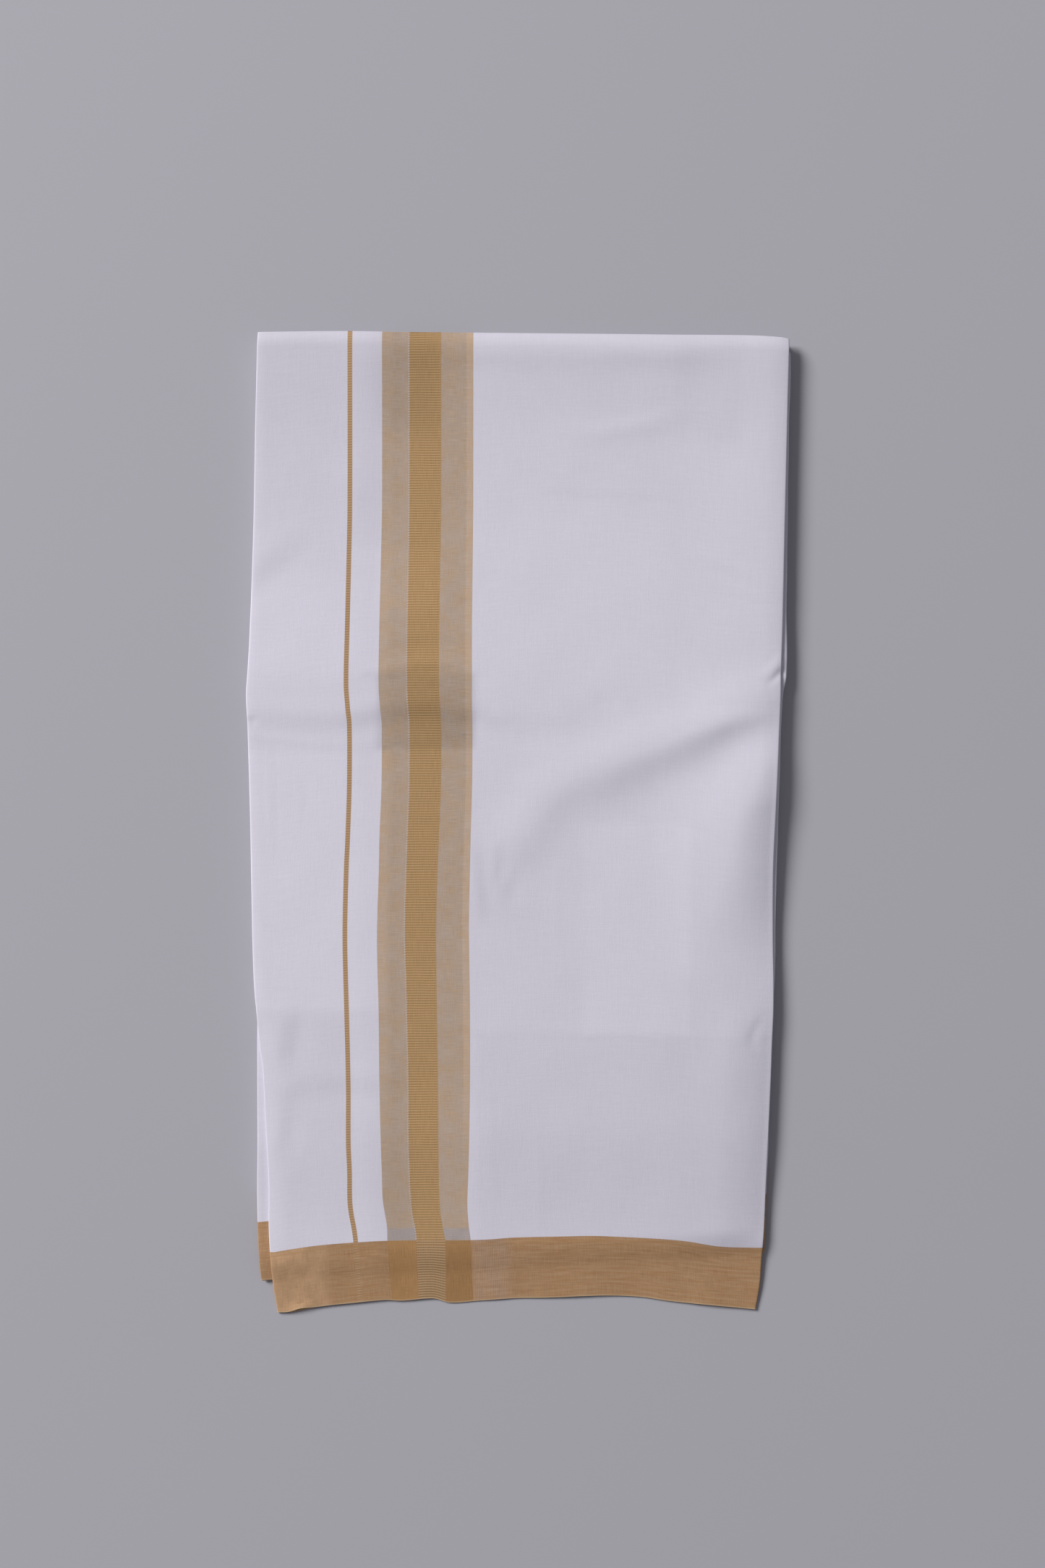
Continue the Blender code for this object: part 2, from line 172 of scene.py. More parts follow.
class Shader:
    """A material with one Principled shader, and one method that adds any other node."""

    def __init__(self, name):
        self.material = bpy.data.materials.new(name)
        self.material.use_nodes = True
        self.tree = self.material.node_tree
        self.surface = self.tree.nodes["Principled BSDF"]

    def add(self, kind, settings, inputs, output=0):
        node = self.tree.nodes.new(kind)
        for setting, value in settings.items():
            setattr(node, setting, value)
        for socket, value in inputs.items():
            self.feed(node.inputs[socket], value)
        return Value(self, node.outputs[output])

    def feed(self, socket, value):
        if isinstance(value, Value):
            self.tree.links.new(value.link, socket)
        else:
            socket.default_value = value

    def mix(self, share, first, second, blend="MIX"):
        """A colour share of the way from the first colour to the second."""
        settings = {"data_type": "RGBA", "blend_type": blend}
        return self.add("ShaderNodeMix", settings, {0: share, 6: first, 7: second}, output=2)

    def tint(self, colour, factor):
        """A colour times a factor that varies over the surface."""
        grey = self.add("ShaderNodeCombineColor", {}, {0: factor, 1: factor, 2: factor})
        return self.mix(1.0, colour, grey, blend="MULTIPLY")

    def noise(self, vector, scale, detail=2.0):
        """Smooth noise from 0 to 1, stretched by a scale along each axis."""
        stretched = self.add("ShaderNodeMapping", {}, {"Vector": vector, "Scale": scale})
        settings = {"noise_dimensions": "2D"}
        inputs = {"Vector": stretched, "Scale": 1.0, "Detail": detail}
        return self.add("ShaderNodeTexNoise", settings, inputs)


def opaque(red, green, blue):
    """A colour with its alpha."""
    return (red, green, blue, 1.0)


paper = Shader("Pale floor")
paper.surface.inputs["Base Color"].default_value = opaque(*FLOOR_COLOUR)
paper.surface.inputs["Roughness"].default_value = 0.9
floor.data.materials.append(paper.material)
print("Floor painted")

# %% [markdown]
# ## Where the folds and the hems lie
# A folded cloth is described best by its edges: where each fold and each hem
# runs, measured as the distance from an even rectangle. Short tables hold
# those distances, and a smooth curve through them gives every place between.
# These are the same tables that gave the solids their outline, so the cloth
# lies exactly where the solids are.


# %% Soft steps and smooth curves
def mix(start, end, share):
    """The value that lies share of the way from start to end."""
    return start + (end - start) * share


def ease(share):
    """A soft step: 0 up to 0, 1 from 1 on, and level at both ends."""
    share = np.clip(share, 0.0, 1.0)
    return share * share * (3.0 - 2.0 * share)


def ramp(share, softness):
    """A straight slope from 0 to 1 with rounded corners."""
    return 0.5 * (1.0 + np.hypot(share, softness) - np.hypot(share - 1.0, softness))


def curve(points):
    """A smooth line through (place, value) points, as a function of place."""
    places, values = np.array(points, dtype=float).T
    last = len(places) - 1
    order = np.arange(len(places))
    before = np.maximum(order - 1, 0)
    after = np.minimum(order + 1, last)
    slopes = (values[after] - values[before]) / (places[after] - places[before])

    def value_at(place):
        place = np.clip(place, places[0], places[last])
        index = np.clip(np.searchsorted(places, place, side="right"), 1, last) - 1
        span = places[index + 1] - places[index]
        share = (place - places[index]) / span
        left_over = 1.0 - share
        start = values[index] * (1.0 + 2.0 * share) * left_over ** 2
        end = values[index + 1] * (3.0 - 2.0 * share) * share ** 2
        leaving = slopes[index] * span * share * left_over ** 2
        arriving = slopes[index + 1] * span * left_over * share ** 2
        return start + end + leaving - arriving

    return value_at


print("A soft step, half way:", ease(0.5))

# %% Folds and hems, in millimetres
CLOTH_WIDTH = 1270.0
LEAF_WIDTH = 356.0
EVEN_SIDE = LEAF_WIDTH / 2.0
EVEN_END = CLOTH_WIDTH / 4.0
FOLD_OUT = 0.6

Side = namedtuple("Side", "y left_in right_in")
Edge = namedtuple("Edge", "x out")

TOP_LEAF_SIDES = [
    Side(-319.0, 19.2, 22.5),
    Side(-304.0, 16.9, 20.0),
    Side(-290.0, 15.8, 19.0),
    Side(-265.0, 14.4, 17.5),
    Side(-237.0, 14.5, 16.4),
    Side(-190.0, 12.2, 14.3),
    Side(-161.0, 10.7, 13.1),
    Side(-143.0, 8.4, 12.5),
    Side(-124.0, 6.7, 11.7),
    Side(-105.0, 5.1, 11.5),
    Side(-76.0, 4.1, 11.9),
    Side(-29.0, 3.2, 11.8),
    Side(8.0, 2.5, 10.3),
    Side(65.0, 0.8, 7.8),
    Side(84.0, -0.1, 7.1),
    Side(98.0, 0.8, 6.9),
    Side(122.0, 2.2, 6.0),
    Side(188.0, 4.6, 4.5),
    Side(264.0, 6.0, 2.7),
    Side(321.0, 7.4, 1.3),
]
LOWER_LEAF_SIDES = [
    Side(-301.0, 8.9, 17.0),
    Side(-283.0, 7.8, 16.3),
    Side(-263.0, 7.0, 16.0),
    Side(-237.0, 6.8, 15.1),
    Side(-190.0, 7.0, 13.5),
    Side(-143.0, 7.0, 12.1),
    Side(-124.0, 7.0, 11.4),
    Side(-105.0, 6.7, 10.1),
    Side(-76.0, 6.0, 9.7),
    Side(-29.0, 5.2, 8.8),
    Side(27.0, 4.5, 7.4),
    Side(65.0, 3.0, 6.0),
    Side(85.0, 2.5, 4.8),
    Side(96.0, 2.8, 2.6),
    Side(150.0, 5.0, 2.4),
    Side(254.0, 7.5, 1.0),
    Side(300.0, 8.0, -0.1),
    Side(319.0, 9.0, 0.3),
]
TOP_LEAF_HEM = [
    Edge(-160.0, 4.2),
    Edge(-150.0, 4.0),
    Edge(-130.0, 0.3),
    Edge(-108.5, -2.0),
    Edge(-88.0, -3.9),
    Edge(-77.0, -3.4),
    Edge(-56.0, -4.9),
    Edge(-45.5, -2.0),
    Edge(-25.0, -3.4),
    Edge(-4.0, -4.9),
    Edge(17.0, -5.3),
    Edge(54.0, -6.8),
    Edge(80.0, -5.8),
    Edge(100.5, -3.0),
    Edge(132.0, -0.1),
    Edge(158.0, 2.5),
]
LOWER_LEAF_HEM = [
    Edge(-171.0, -16.8),
    Edge(162.0, -34.4),
]
LONG_FOLD = [
    Edge(-172.0, 3.5),
    Edge(-120.0, 4.1),
    Edge(-95.0, 4.0),
    Edge(0.0, 3.1),
    Edge(90.0, 2.2),
    Edge(150.0, 1.4),
    Edge(172.0, 0.1),
    Edge(178.0, -1.1),
]

top_left = curve([(row.y, row.left_in - EVEN_SIDE) for row in TOP_LEAF_SIDES])
top_right = curve([(row.y, EVEN_SIDE - row.right_in + FOLD_OUT) for row in TOP_LEAF_SIDES])
lower_left = curve([(row.y, row.left_in - EVEN_SIDE) for row in LOWER_LEAF_SIDES])
lower_right = curve([(row.y, EVEN_SIDE - row.right_in) for row in LOWER_LEAF_SIDES])
top_hem = curve([(row.x, -EVEN_END - row.out) for row in TOP_LEAF_HEM])
lower_hem = curve([(row.x, -EVEN_END - row.out) for row in LOWER_LEAF_HEM])
long_fold = curve([(row.x, EVEN_END + row.out) for row in LONG_FOLD])
print("Top leaf, at its middle:", round(float(top_right(0.0) - top_left(0.0)), 1), "mm wide")

# %% [markdown]
# ## Creases
# A crease in pressed cotton is not a line but a soft slope, light on one side
# and dark on the other. Three strokes draw them all. A swell is a long soft
# mound or hollow, which may be steeper on one side of its path than on the
# other. A step is higher on the left of its path than on the right, and flat
# again beyond. A drop leaves the right of its path lower, and fades further
# off. Each stroke follows a few points with a height at each, so it can start,
# swell and die out as unevenly as a real crease.


# %% Crease strokes
Mark = namedtuple("Mark", "x y height")
Stroke = namedtuple("Stroke", "kind left_width right_width marks")
STEPS_BETWEEN_MARKS = 4

CREASES = [
    Stroke("swell", 20.0, 17.0, [
        Mark(-16, -26, 0.0), Mark(-7, -17, 0.7), Mark(1, -10, 1.05), Mark(8, -1, 1.25), Mark(16, 12, 1.45),
        Mark(24, 21, 1.6), Mark(32, 26, 1.75), Mark(40, 30, 1.85), Mark(56, 36, 2.0), Mark(72, 43, 2.2),
        Mark(88, 49, 2.4), Mark(104, 56, 2.4), Mark(120, 63, 2.3), Mark(136, 71, 2.2), Mark(152, 77, 1.8),
        Mark(166, 82, 1.0)]),
    Stroke("drop", 17.0, 42.0, [
        Mark(-10, -20, 0.0), Mark(8, -1, 0.1), Mark(24, 21, 0.4), Mark(40, 30, 0.5), Mark(72, 43, 0.9),
        Mark(88, 49, 1.5), Mark(104, 56, 2.2), Mark(120, 63, 2.8), Mark(136, 71, 2.8), Mark(152, 77, 1.8),
        Mark(166, 82, 0.6)]),
    Stroke("drop", 8.0, 30.0, [
        Mark(108, 56, 0.0), Mark(122, 61, 0.4), Mark(136, 66, 0.8), Mark(148, 69, 0.8), Mark(160, 73, 0.5),
        Mark(169, 76, 0.1)]),
    Stroke("step", 3.6, 3.6, [Mark(-16, -50, 0.0), Mark(-14, -30, 0.2), Mark(-12, -8, 0.0)]),
    Stroke("step", 3.6, 3.6, [Mark(-21, -66, 0.0), Mark(-24, -48, 0.22), Mark(-26, -26, 0.12),
                              Mark(-28, -10, 0.0)]),
    Stroke("step", 4.5, 4.5, [Mark(-9, -56, 0.0), Mark(-7, -42, 0.2), Mark(-2, -28, 0.0)]),
    Stroke("step", 8.0, 8.0, [Mark(-174, 156, 0.25), Mark(-162, 169, 0.25), Mark(-150, 178, 0.2),
                              Mark(-138, 186, 0.08), Mark(-128, 190, 0.0)]),
    Stroke("step", 3.0, 3.0, [Mark(-166, 294, 0.0), Mark(-146, 288, 0.16), Mark(-128, 278, 0.14),
                              Mark(-112, 269, 0.0)]),
    Stroke("swell", 5.0, 7.5, [Mark(14, 260, 0.0), Mark(40, 256, 0.3), Mark(64, 258, 0.5),
                               Mark(86, 262, 0.45), Mark(104, 267, 0.15), Mark(116, 270, 0.0)]),
    Stroke("swell", 4.5, 7.0, [Mark(36, 309, 0.0), Mark(70, 308, 0.22), Mark(102, 308, 0.26),
                               Mark(138, 310, 0.0)]),
    Stroke("step", 3.0, 3.0, [Mark(8, 217, 0.0), Mark(40, 215, 0.1), Mark(80, 213, 0.1),
                              Mark(104, 212, 0.0)]),
    Stroke("step", 3.2, 3.2, [Mark(112, 173, 0.0), Mark(126, 169, 0.15), Mark(142, 163, 0.18),
                              Mark(158, 156, 0.18), Mark(170, 151, 0.1)]),
    Stroke("step", 2.6, 2.6, [Mark(122, 160, 0.0), Mark(138, 152, 0.13), Mark(154, 147, 0.14),
                              Mark(169, 145, 0.08)]),
    Stroke("swell", 5.0, 5.0, [Mark(46, 80, 0.0), Mark(53, 79, -0.16), Mark(60, 79, -0.14),
                               Mark(68, 78, 0.0)]),
    Stroke("step", 8.0, 8.0, [Mark(-30, 66, 0.12), Mark(0, 64, 0.2), Mark(28, 64, 0.14),
                              Mark(46, 70, 0.0)]),
    Stroke("step", 2.4, 2.4, [Mark(-172, 54, 0.1), Mark(-150, 52, 0.1), Mark(-130, 50, 0.07),
                              Mark(-108, 49, 0.0)]),
    Stroke("step", 7.0, 7.0, [Mark(-170, 68, 0.3), Mark(-142, 66, 0.35), Mark(-116, 66, 0.35),
                              Mark(-92, 70, 0.5), Mark(-60, 73, 0.6), Mark(-34, 70, 0.45),
                              Mark(-20, 68, 0.1)]),
    Stroke("step", 3.4, 3.4, [Mark(-95, 97, 0.1), Mark(-74, 100, 0.3), Mark(-50, 101, 0.3),
                              Mark(-30, 98, 0.1), Mark(-16, 95, 0.0)]),
    Stroke("step", 4.0, 4.0, [Mark(-92, 116, 0.0), Mark(-72, 119, 0.18), Mark(-50, 120, 0.16),
                              Mark(-28, 118, 0.0)]),
    Stroke("step", 6.5, 6.5, [Mark(-152, -162, 0.0), Mark(-150, -142, 0.3), Mark(-147, -122, 0.1),
                              Mark(-146, -114, 0.0)]),
    Stroke("step", 7.0, 7.0, [Mark(-160, -182, 0.0), Mark(-142, -174, 0.22), Mark(-118, -171, 0.26),
                              Mark(-94, -172, 0.22), Mark(-74, -175, 0.0)]),
    Stroke("step", 6.0, 6.0, [Mark(-157, -228, 0.0), Mark(-154, -206, 0.22), Mark(-150, -186, 0.08),
                              Mark(-148, -178, 0.0)]),
    Stroke("step", 1.6, 1.6, [Mark(-159, -28, 0.0), Mark(-160, 0, 0.09), Mark(-160, 30, 0.09),
                              Mark(-161, 54, 0.0)]),
    Stroke("step", 2.0, 2.0, [Mark(-143, -8, 0.0), Mark(-141, 14, 0.07), Mark(-142, 36, 0.0)]),
    Stroke("swell", 2.6, 2.6, [Mark(-17, -128, 0.0), Mark(-18, -180, 0.07), Mark(-17, -262, 0.06)]),
    Stroke("swell", 2.2, 2.2, [Mark(-9, -120, 0.0), Mark(-10, -170, 0.05), Mark(-9, -250, 0.0)]),
    Stroke("swell", 2.6, 2.6, [Mark(12, -150, 0.0), Mark(13, -210, 0.06), Mark(14, -262, 0.07)]),
    Stroke("swell", 2.4, 2.4, [Mark(24, -20, 0.0), Mark(25, -60, 0.07), Mark(26, -104, 0.0)]),
    Stroke("swell", 3.0, 3.0, [Mark(42, -30, 0.0), Mark(42, -70, 0.07), Mark(41, -124, 0.0)]),
    Stroke("step", 2.6, 2.6, [Mark(-50, -138, 0.06), Mark(0, -138, 0.1), Mark(50, -138.5, 0.1),
                              Mark(88, -139, 0.05), Mark(104, -139, 0.0)]),
    Stroke("swell", 2.0, 2.0, [Mark(-173, 66, -0.25), Mark(-169, 65, 0.0)]),
    Stroke("swell", 1.8, 1.8, [Mark(161, 91.5, 0.0), Mark(166, 93.5, -0.5), Mark(172, 99.5, -0.9)]),
    Stroke("swell", 3.6, 3.6, [Mark(156, 97, 0.0), Mark(164, 99, 0.35), Mark(170, 105, 0.4),
                               Mark(173, 112, 0.0)]),
    Stroke("swell", 2.4, 4.5, [Mark(158, -148, 0.0), Mark(152, -141, -0.45), Mark(157, -131, -0.3),
                               Mark(162, -124, 0.0)]),
]


def smooth_path(marks):
    """A crease's marks, with softly curved steps put between them."""
    places = np.linspace(0, len(marks) - 1, (len(marks) - 1) * STEPS_BETWEEN_MARKS + 1)
    columns = [curve(list(enumerate(values)))(places) for values in zip(*marks)]
    return np.stack(columns, axis=1)


def crease_relief(x, y, creases):
    """The height that a list of strokes adds at each place."""
    relief = np.zeros_like(x)
    for stroke in creases:
        nearest = np.full_like(x, np.inf)
        height = np.zeros_like(x)
        side = np.ones_like(x)
        path = smooth_path(stroke.marks)
        for start, end in zip(path, path[1:]):
            run_x, run_y = end[:2] - start[:2]
            from_x = x - start[0]
            from_y = y - start[1]
            share = np.clip((from_x * run_x + from_y * run_y) / (run_x ** 2 + run_y ** 2), 0.0, 1.0)
            distance = np.hypot(from_x - run_x * share, from_y - run_y * share)
            closer = distance < nearest
            nearest = np.where(closer, distance, nearest)
            height = np.where(closer, mix(start[2], end[2], share), height)
            side = np.where(closer, np.sign(run_x * from_y - run_y * from_x), side)
        if stroke.kind == "swell":
            width = np.where(side > 0, stroke.left_width, stroke.right_width)
            relief += height * np.exp(-(nearest / width) ** 2)
        elif stroke.kind == "step":
            away = nearest / stroke.left_width
            relief += height * side * away * np.exp(0.5 - 0.5 * away ** 2)
        else:
            fallen = 1.0 - np.exp(-(nearest / stroke.left_width) ** 2)
            lasting = np.exp(-(nearest / stroke.right_width) ** 2)
            relief -= np.where(side > 0, 0.0, height * fallen * lasting)
    return relief


UNEVEN_HEIGHT = 0.05
UNEVEN_WAVES = 14
UNEVEN_PACES = (0.05, 0.22)
WHOLE_TURN = (0.0, math.tau)
draws = random.Random(7)
uneven_waves = [
    (draws.uniform(*UNEVEN_PACES), draws.uniform(*WHOLE_TURN), draws.uniform(*WHOLE_TURN))
    for _ in range(UNEVEN_WAVES)
]


def unevenness(x, y):
    """Faint waves in every direction, which no pressed cloth is without."""
    total = np.zeros_like(x)
    for pace, turn, start in uneven_waves:
        total += np.sin(pace * (x * math.cos(turn) + y * math.sin(turn)) + start)
    return total * UNEVEN_HEIGHT / math.sqrt(UNEVEN_WAVES)


print(len(CREASES), "creases")

# %% [markdown]
# ## Rounded sides
# The stack is not a slab: towards each side it rolls off, a little by the
# sharp folds of the upper half, and far more at the lower right, where the
# cloth first swells over the folds beneath and then falls away to the edge.
# A few rows along each side hold how far in the roll starts and how deep it is.

# %% Rolls along the sides, in millimetres
Roll = namedtuple("Roll", "y width drop")
Bulge = namedtuple("Bulge", "y height")

RIGHT_ROLL = [
    Roll(-318, 30.0, 2.2),
    Roll(-260, 32.0, 2.9),
    Roll(-222, 32.0, 3.2),
    Roll(-198, 32.0, 3.4),
    Roll(-150, 30.0, 3.0),
    Roll(-130, 27.0, 2.6),
    Roll(-118, 40.0, 2.6),
    Roll(-102, 54.0, 3.1),
    Roll(-78, 50.0, 3.9),
    Roll(-54, 40.0, 4.1),
    Roll(-30, 31.0, 3.8),
    Roll(-12, 27.0, 3.5),
    Roll(4, 22.0, 2.9),
    Roll(18, 15.0, 1.7),
    Roll(42, 10.0, 0.8),
    Roll(100, 10.0, 0.4),
    Roll(318, 10.0, 0.4),
]
LEFT_ROLL = [
    Roll(-318, 12.0, 0.6),
    Roll(-260, 14.0, 0.9),
    Roll(-200, 16.0, 1.2),
    Roll(-132, 15.0, 1.2),
    Roll(-112, 8.0, 0.4),
    Roll(318, 7.0, 0.3),
]
RIGHT_BULGE = [
    Bulge(-112, 0.0),
    Bulge(-80, 0.5),
    Bulge(-60, 1.2),
    Bulge(-40, 2.2),
    Bulge(-20, 3.1),
    Bulge(0, 3.7),
    Bulge(20, 3.8),
    Bulge(40, 3.3),
    Bulge(56, 2.0),
    Bulge(76, 0.0),
]
BULGE_START = 89.0
BULGE_END = 146.0
BULGE_SOFTNESS = 0.09
RIM_WIDTH = 2.8
RIM_SLOPE = 0.12

right_width = curve([(row.y, row.width) for row in RIGHT_ROLL])
right_drop = curve([(row.y, row.drop) for row in RIGHT_ROLL])
left_width = curve([(row.y, row.width) for row in LEFT_ROLL])
left_drop = curve([(row.y, row.drop) for row in LEFT_ROLL])
bulge_height = curve([(row.y, row.height) for row in RIGHT_BULGE])


def rounded_sides(x, y):
    """Height gained by the bulge at the right, less what the rolls along both sides take away."""
    past_rim = top_right(y) - RIM_WIDTH - x
    from_right = np.clip(past_rim / right_width(y), 0.0, 1.0)
    from_left = np.clip((x - top_left(y)) / left_width(y), 0.0, 1.0)
    rolls = right_drop(y) * (1.0 - from_right) ** 2 + left_drop(y) * (1.0 - from_left) ** 2
    rim = RIM_SLOPE * np.clip(-past_rim, 0.0, RIM_WIDTH)
    rise = ramp((x - BULGE_START) / (BULGE_END - BULGE_START), BULGE_SOFTNESS)
    return bulge_height(y) * rise - rolls - rim


print("Lower right roll:", max(row.drop for row in RIGHT_ROLL), "mm deep at most")

# %% [markdown]
# ## The heights of the stack
# Ten leaves lie on each other, and every leaf takes an equal share of the
# height between the table and the top leaf. So the whole stack is described by
# the height of the top leaf alone: where a crease dips, all the leaves below
# dip a little with it and none cuts through the next. Near the hem the leaves
# are pressed thinner, then the inner leaves end, then the ones above them, and
# the top leaf hangs over them all down to the table.

# %% Heights of the stack, in millimetres
LEAVES_BELOW = 9
INNER_LEAVES = 6
RESTING_TOP = 9.85
EDGE_RISE = 1.6
EVEN_PRESSED = 2.81
PRESS_START = -195.0
PRESS_END = -268.0
INNER_SET_BACK = 16.0
SAG_LENGTH = 16.0
SAG_SOFTNESS = 0.13
HANGING_PITCH = 1.04
FLAP_WIDTH = 60.0
FLAP_REACH = 62.0
FLAP_EASE = 36.0
RETURN_REACH = 9.0
RETURN_EASE = 62.0
CREST_HEIGHT = 0.8
CREST_PLACE = 13.0
ROLL_WIDTH = 9.0
ROLL_DROP = 2.4
RIPPLE_REACH = 26.0
Ripple = namedtuple("Ripple", "x width lift")

HEM_RIPPLES = [
    Ripple(-63.0, 13.0, 0.9),
    Ripple(-14.0, 11.0, 0.5),
    Ripple(40.0, 27.0, 1.1),
    Ripple(92.0, 11.0, 0.4),
    Ripple(128.0, 14.0, 0.6),
]
RETURN_WIDTH = 33.0
GAPE_PLACE = -143.0
GAPE_WIDTH = 6.5
GAPE_REACH = 7.0
GAPE_HEIGHT = 1.6
GAPE_SET_BACK = 1.6
Stack = namedtuple("Stack", "pitch slots past_inner past_lower doubled lift roll gape")


def stack_at(x, y):
    """The pitch of the leaves and how many pitches up the top leaf lies, at each place."""
    over_flap = 1.0 - ease((x - top_left(y) - FLAP_REACH) / FLAP_EASE)
    over_return = 1.0 - ease((top_right(y) - x - RETURN_REACH) / RETURN_EASE)
    by_fold = np.maximum(over_flap, over_return)
    from_long_fold = long_fold(x) - y
    pressed = EVEN_PRESSED * ease((PRESS_START - y) / (PRESS_START - PRESS_END))
    crest = CREST_HEIGHT * np.exp(-((from_long_fold - CREST_PLACE) / ROLL_WIDTH) ** 2)
    relief = crease_relief(x, y, CREASES) + unevenness(x, y) + rounded_sides(x, y)
    resting = RESTING_TOP - pressed + EDGE_RISE * by_fold + crest * (1.0 - by_fold) + relief
    slots = LEAVES_BELOW + 0.5 + over_flap
    past_inner = ramp((lower_hem(x) + INNER_SET_BACK - y) / SAG_LENGTH, SAG_SOFTNESS)
    past_lower = ramp((lower_hem(x) - y) / (lower_hem(x) - top_hem(x)), SAG_SOFTNESS)
    doubled = 1.0 - ease((top_right(y) - x - RETURN_WIDTH) / FLAP_EASE)
    near_hem = 1.0 - ease((y - top_hem(x)) / RIPPLE_REACH)
    lift = sum(ripple.lift * np.exp(-((x - ripple.x) / ripple.width) ** 2) for ripple in HEM_RIPPLES)
    roll = ROLL_DROP * np.maximum(1.0 - from_long_fold / ROLL_WIDTH, 0.0) ** 2
    pitch = mix(resting / slots, HANGING_PITCH, past_inner)
    gape_share = 1.0 - ease((y - top_hem(x)) / GAPE_REACH)
    gape = GAPE_HEIGHT * gape_share * np.exp(-((x - GAPE_PLACE) / GAPE_WIDTH) ** 2)
    return Stack(pitch, slots, past_inner, past_lower, doubled, lift * near_hem, roll, gape)


def inner_height(stack, slot):
    """Middle of an inner leaf, slot pitches above the table."""
    return slot * stack.pitch


def hanging_height(stack, slot):
    """Middle of a leaf that comes down to the table where the inner leaves end."""
    return (slot - INNER_LEAVES * stack.past_inner) * stack.pitch


def flap_height(stack, slot):
    """Middle of the flap, or of the leaf's other turned stretch, which come down past the lower hem."""
    lost = INNER_LEAVES * stack.past_inner
    lost = mix(lost, LEAVES_BELOW - stack.doubled, stack.past_lower)
    return (slot - lost) * stack.pitch + stack.lift - stack.roll


def top_height(stack, slot):
    """Middle of the top leaf, on whatever lies below it."""
    return flap_height(stack, stack.slots) + stack.gape


print("Stack:", round(RESTING_TOP / (LEAVES_BELOW + 0.5), 2), "mm a leaf in the middle")

# %% [markdown]
# ## Leaves, legs and noses
# Seen from the end, a fan fold is a line that runs along a leaf, turns round a
# fold and runs back along the next leaf. So it is built of two kinds of
# stretch: a leg lies flat across a leaf, and a nose is the half turn between
# two leaves. The cloth itself is two plies, one on each side of that line,
# joined at the long fold.

# %% Leaves
PLY_THICKNESS = 0.22
PLY_SHARE = 0.25
LEAST_PLY_OFFSET = 0.15
WOBBLE = 0.3
UPPER_WOBBLE = 0.12
WOBBLE_WAVES = 5
WOBBLE_PACES = (0.03, 0.16)
WOBBLE_PEAK = 2.2
Leaf = namedtuple("Leaf", "slot height left right hem end up")


def wobble(seed, amount=WOBBLE):
    """A slow uneven wave along an edge, the same each run."""
    draws = random.Random(seed)
    waves = [(draws.uniform(*WOBBLE_PACES), draws.uniform(*WHOLE_TURN)) for _ in range(WOBBLE_WAVES)]

    def value_at(place):
        return amount * sum(np.sin(pace * place + start) for pace, start in waves) / WOBBLE_PEAK

    return value_at


def moved(edge, seed, inward, amount=WOBBLE):
    """An edge moved by a distance, with its own wobble."""
    wave = wobble(seed, amount)
    return lambda place: edge(place) + inward + wave(place)


LEAF_EDGES = {
    9: (0.0, 0.0, 0.0, -8.0),
    8: (0.0, 0.0, 0.7, -8.8),
    7: (2.2, 0.0, 3.0, -9.8),
    6: (2.2, -1.0, 16.6, -5.2),
    5: (0.9, -1.0, 18.4, -3.1),
    4: (0.9, -1.5, 17.0, -4.4),
    3: (1.8, -1.5, 19.0, -2.2),
    2: (1.8, -2.7, 17.4, -3.6),
    1: (15.0, -2.7, 15.2, -2.6),
}


def make_leaves():
    """Every leaf's edges: the folds that two leaves share have one edge for both."""
    made = {}
    for number, (left_in, right_in, hem_in, end_in) in LEAF_EDGES.items():
        left_seed = 10 + number // 2
        right_seed = 30 + (number + 1) // 2
        up = 1.0 if number % 2 == 0 else -1.0
        height = inner_height if number <= INNER_LEAVES else hanging_height
        left = moved(lower_left, left_seed, left_in, UPPER_WOBBLE if number > 7 else WOBBLE)
        right = moved(lower_right, right_seed, right_in, UPPER_WOBBLE if number > 6 else WOBBLE)
        hem = moved(lower_hem, 50 + number, hem_in)
        end = moved(long_fold, 70 + number, end_in)
        made[number] = Leaf(number - 0.5, height, left, right, hem, end, up)
    return made


leaves = make_leaves()
FLAP_SHOWS = 0.5
FLAP_SHOWS_BY = 6.0
FLAP_SET_BACK = 6.0
FLAP_SET_BACK_FROM = 22.0


def flap_hem(x):
    """The flap's hem: a little below the top leaf's hem by the fold, and above it further in."""
    from_fold = np.maximum(x - top_left(top_hem(x)), 0.0)
    shows = FLAP_SHOWS * ease(from_fold / FLAP_SHOWS_BY)
    set_back = ease((from_fold - FLAP_SET_BACK_FROM) / (FLAP_WIDTH - FLAP_SET_BACK_FROM))
    return top_hem(x) - shows + FLAP_SET_BACK * set_back


def gaping_hem(x):
    """The top leaf's hem, drawn back a little where it gapes over the flap."""
    return top_hem(x) + GAPE_SET_BACK * np.exp(-((x - GAPE_PLACE) / GAPE_WIDTH) ** 2)


leaves[10] = Leaf(LEAVES_BELOW + 0.5, top_height, top_left, top_right, gaping_hem, long_fold, 1.0)
leaves["flap"] = Leaf(LEAVES_BELOW + 0.5, flap_height, top_left, top_right, flap_hem, long_fold, -1.0)
leaves["return"] = Leaf(LEAVES_BELOW - 0.5, flap_height, top_left, top_right, top_hem, long_fold, -1.0)
print(len(leaves), "leaves, with the flap and the return")

# %% Legs and noses
SETTLING_ROUNDS = 4
Patch = namedtuple("Patch", "x y z across_x across_z ply")


def spread(pieces):
    """Places from 0 to 1, evenly spaced inside each (from, to, steps) piece."""
    places = [np.array([pieces[0][0]])]
    for start, end, steps in pieces:
        places.append(np.linspace(start, end, steps + 1)[1:])
    return np.concatenate(places)


def ply_offset(stack):
    """How far each ply lies from the leaf's middle."""
    return np.maximum(PLY_SHARE * stack.pitch, LEAST_PLY_OFFSET)


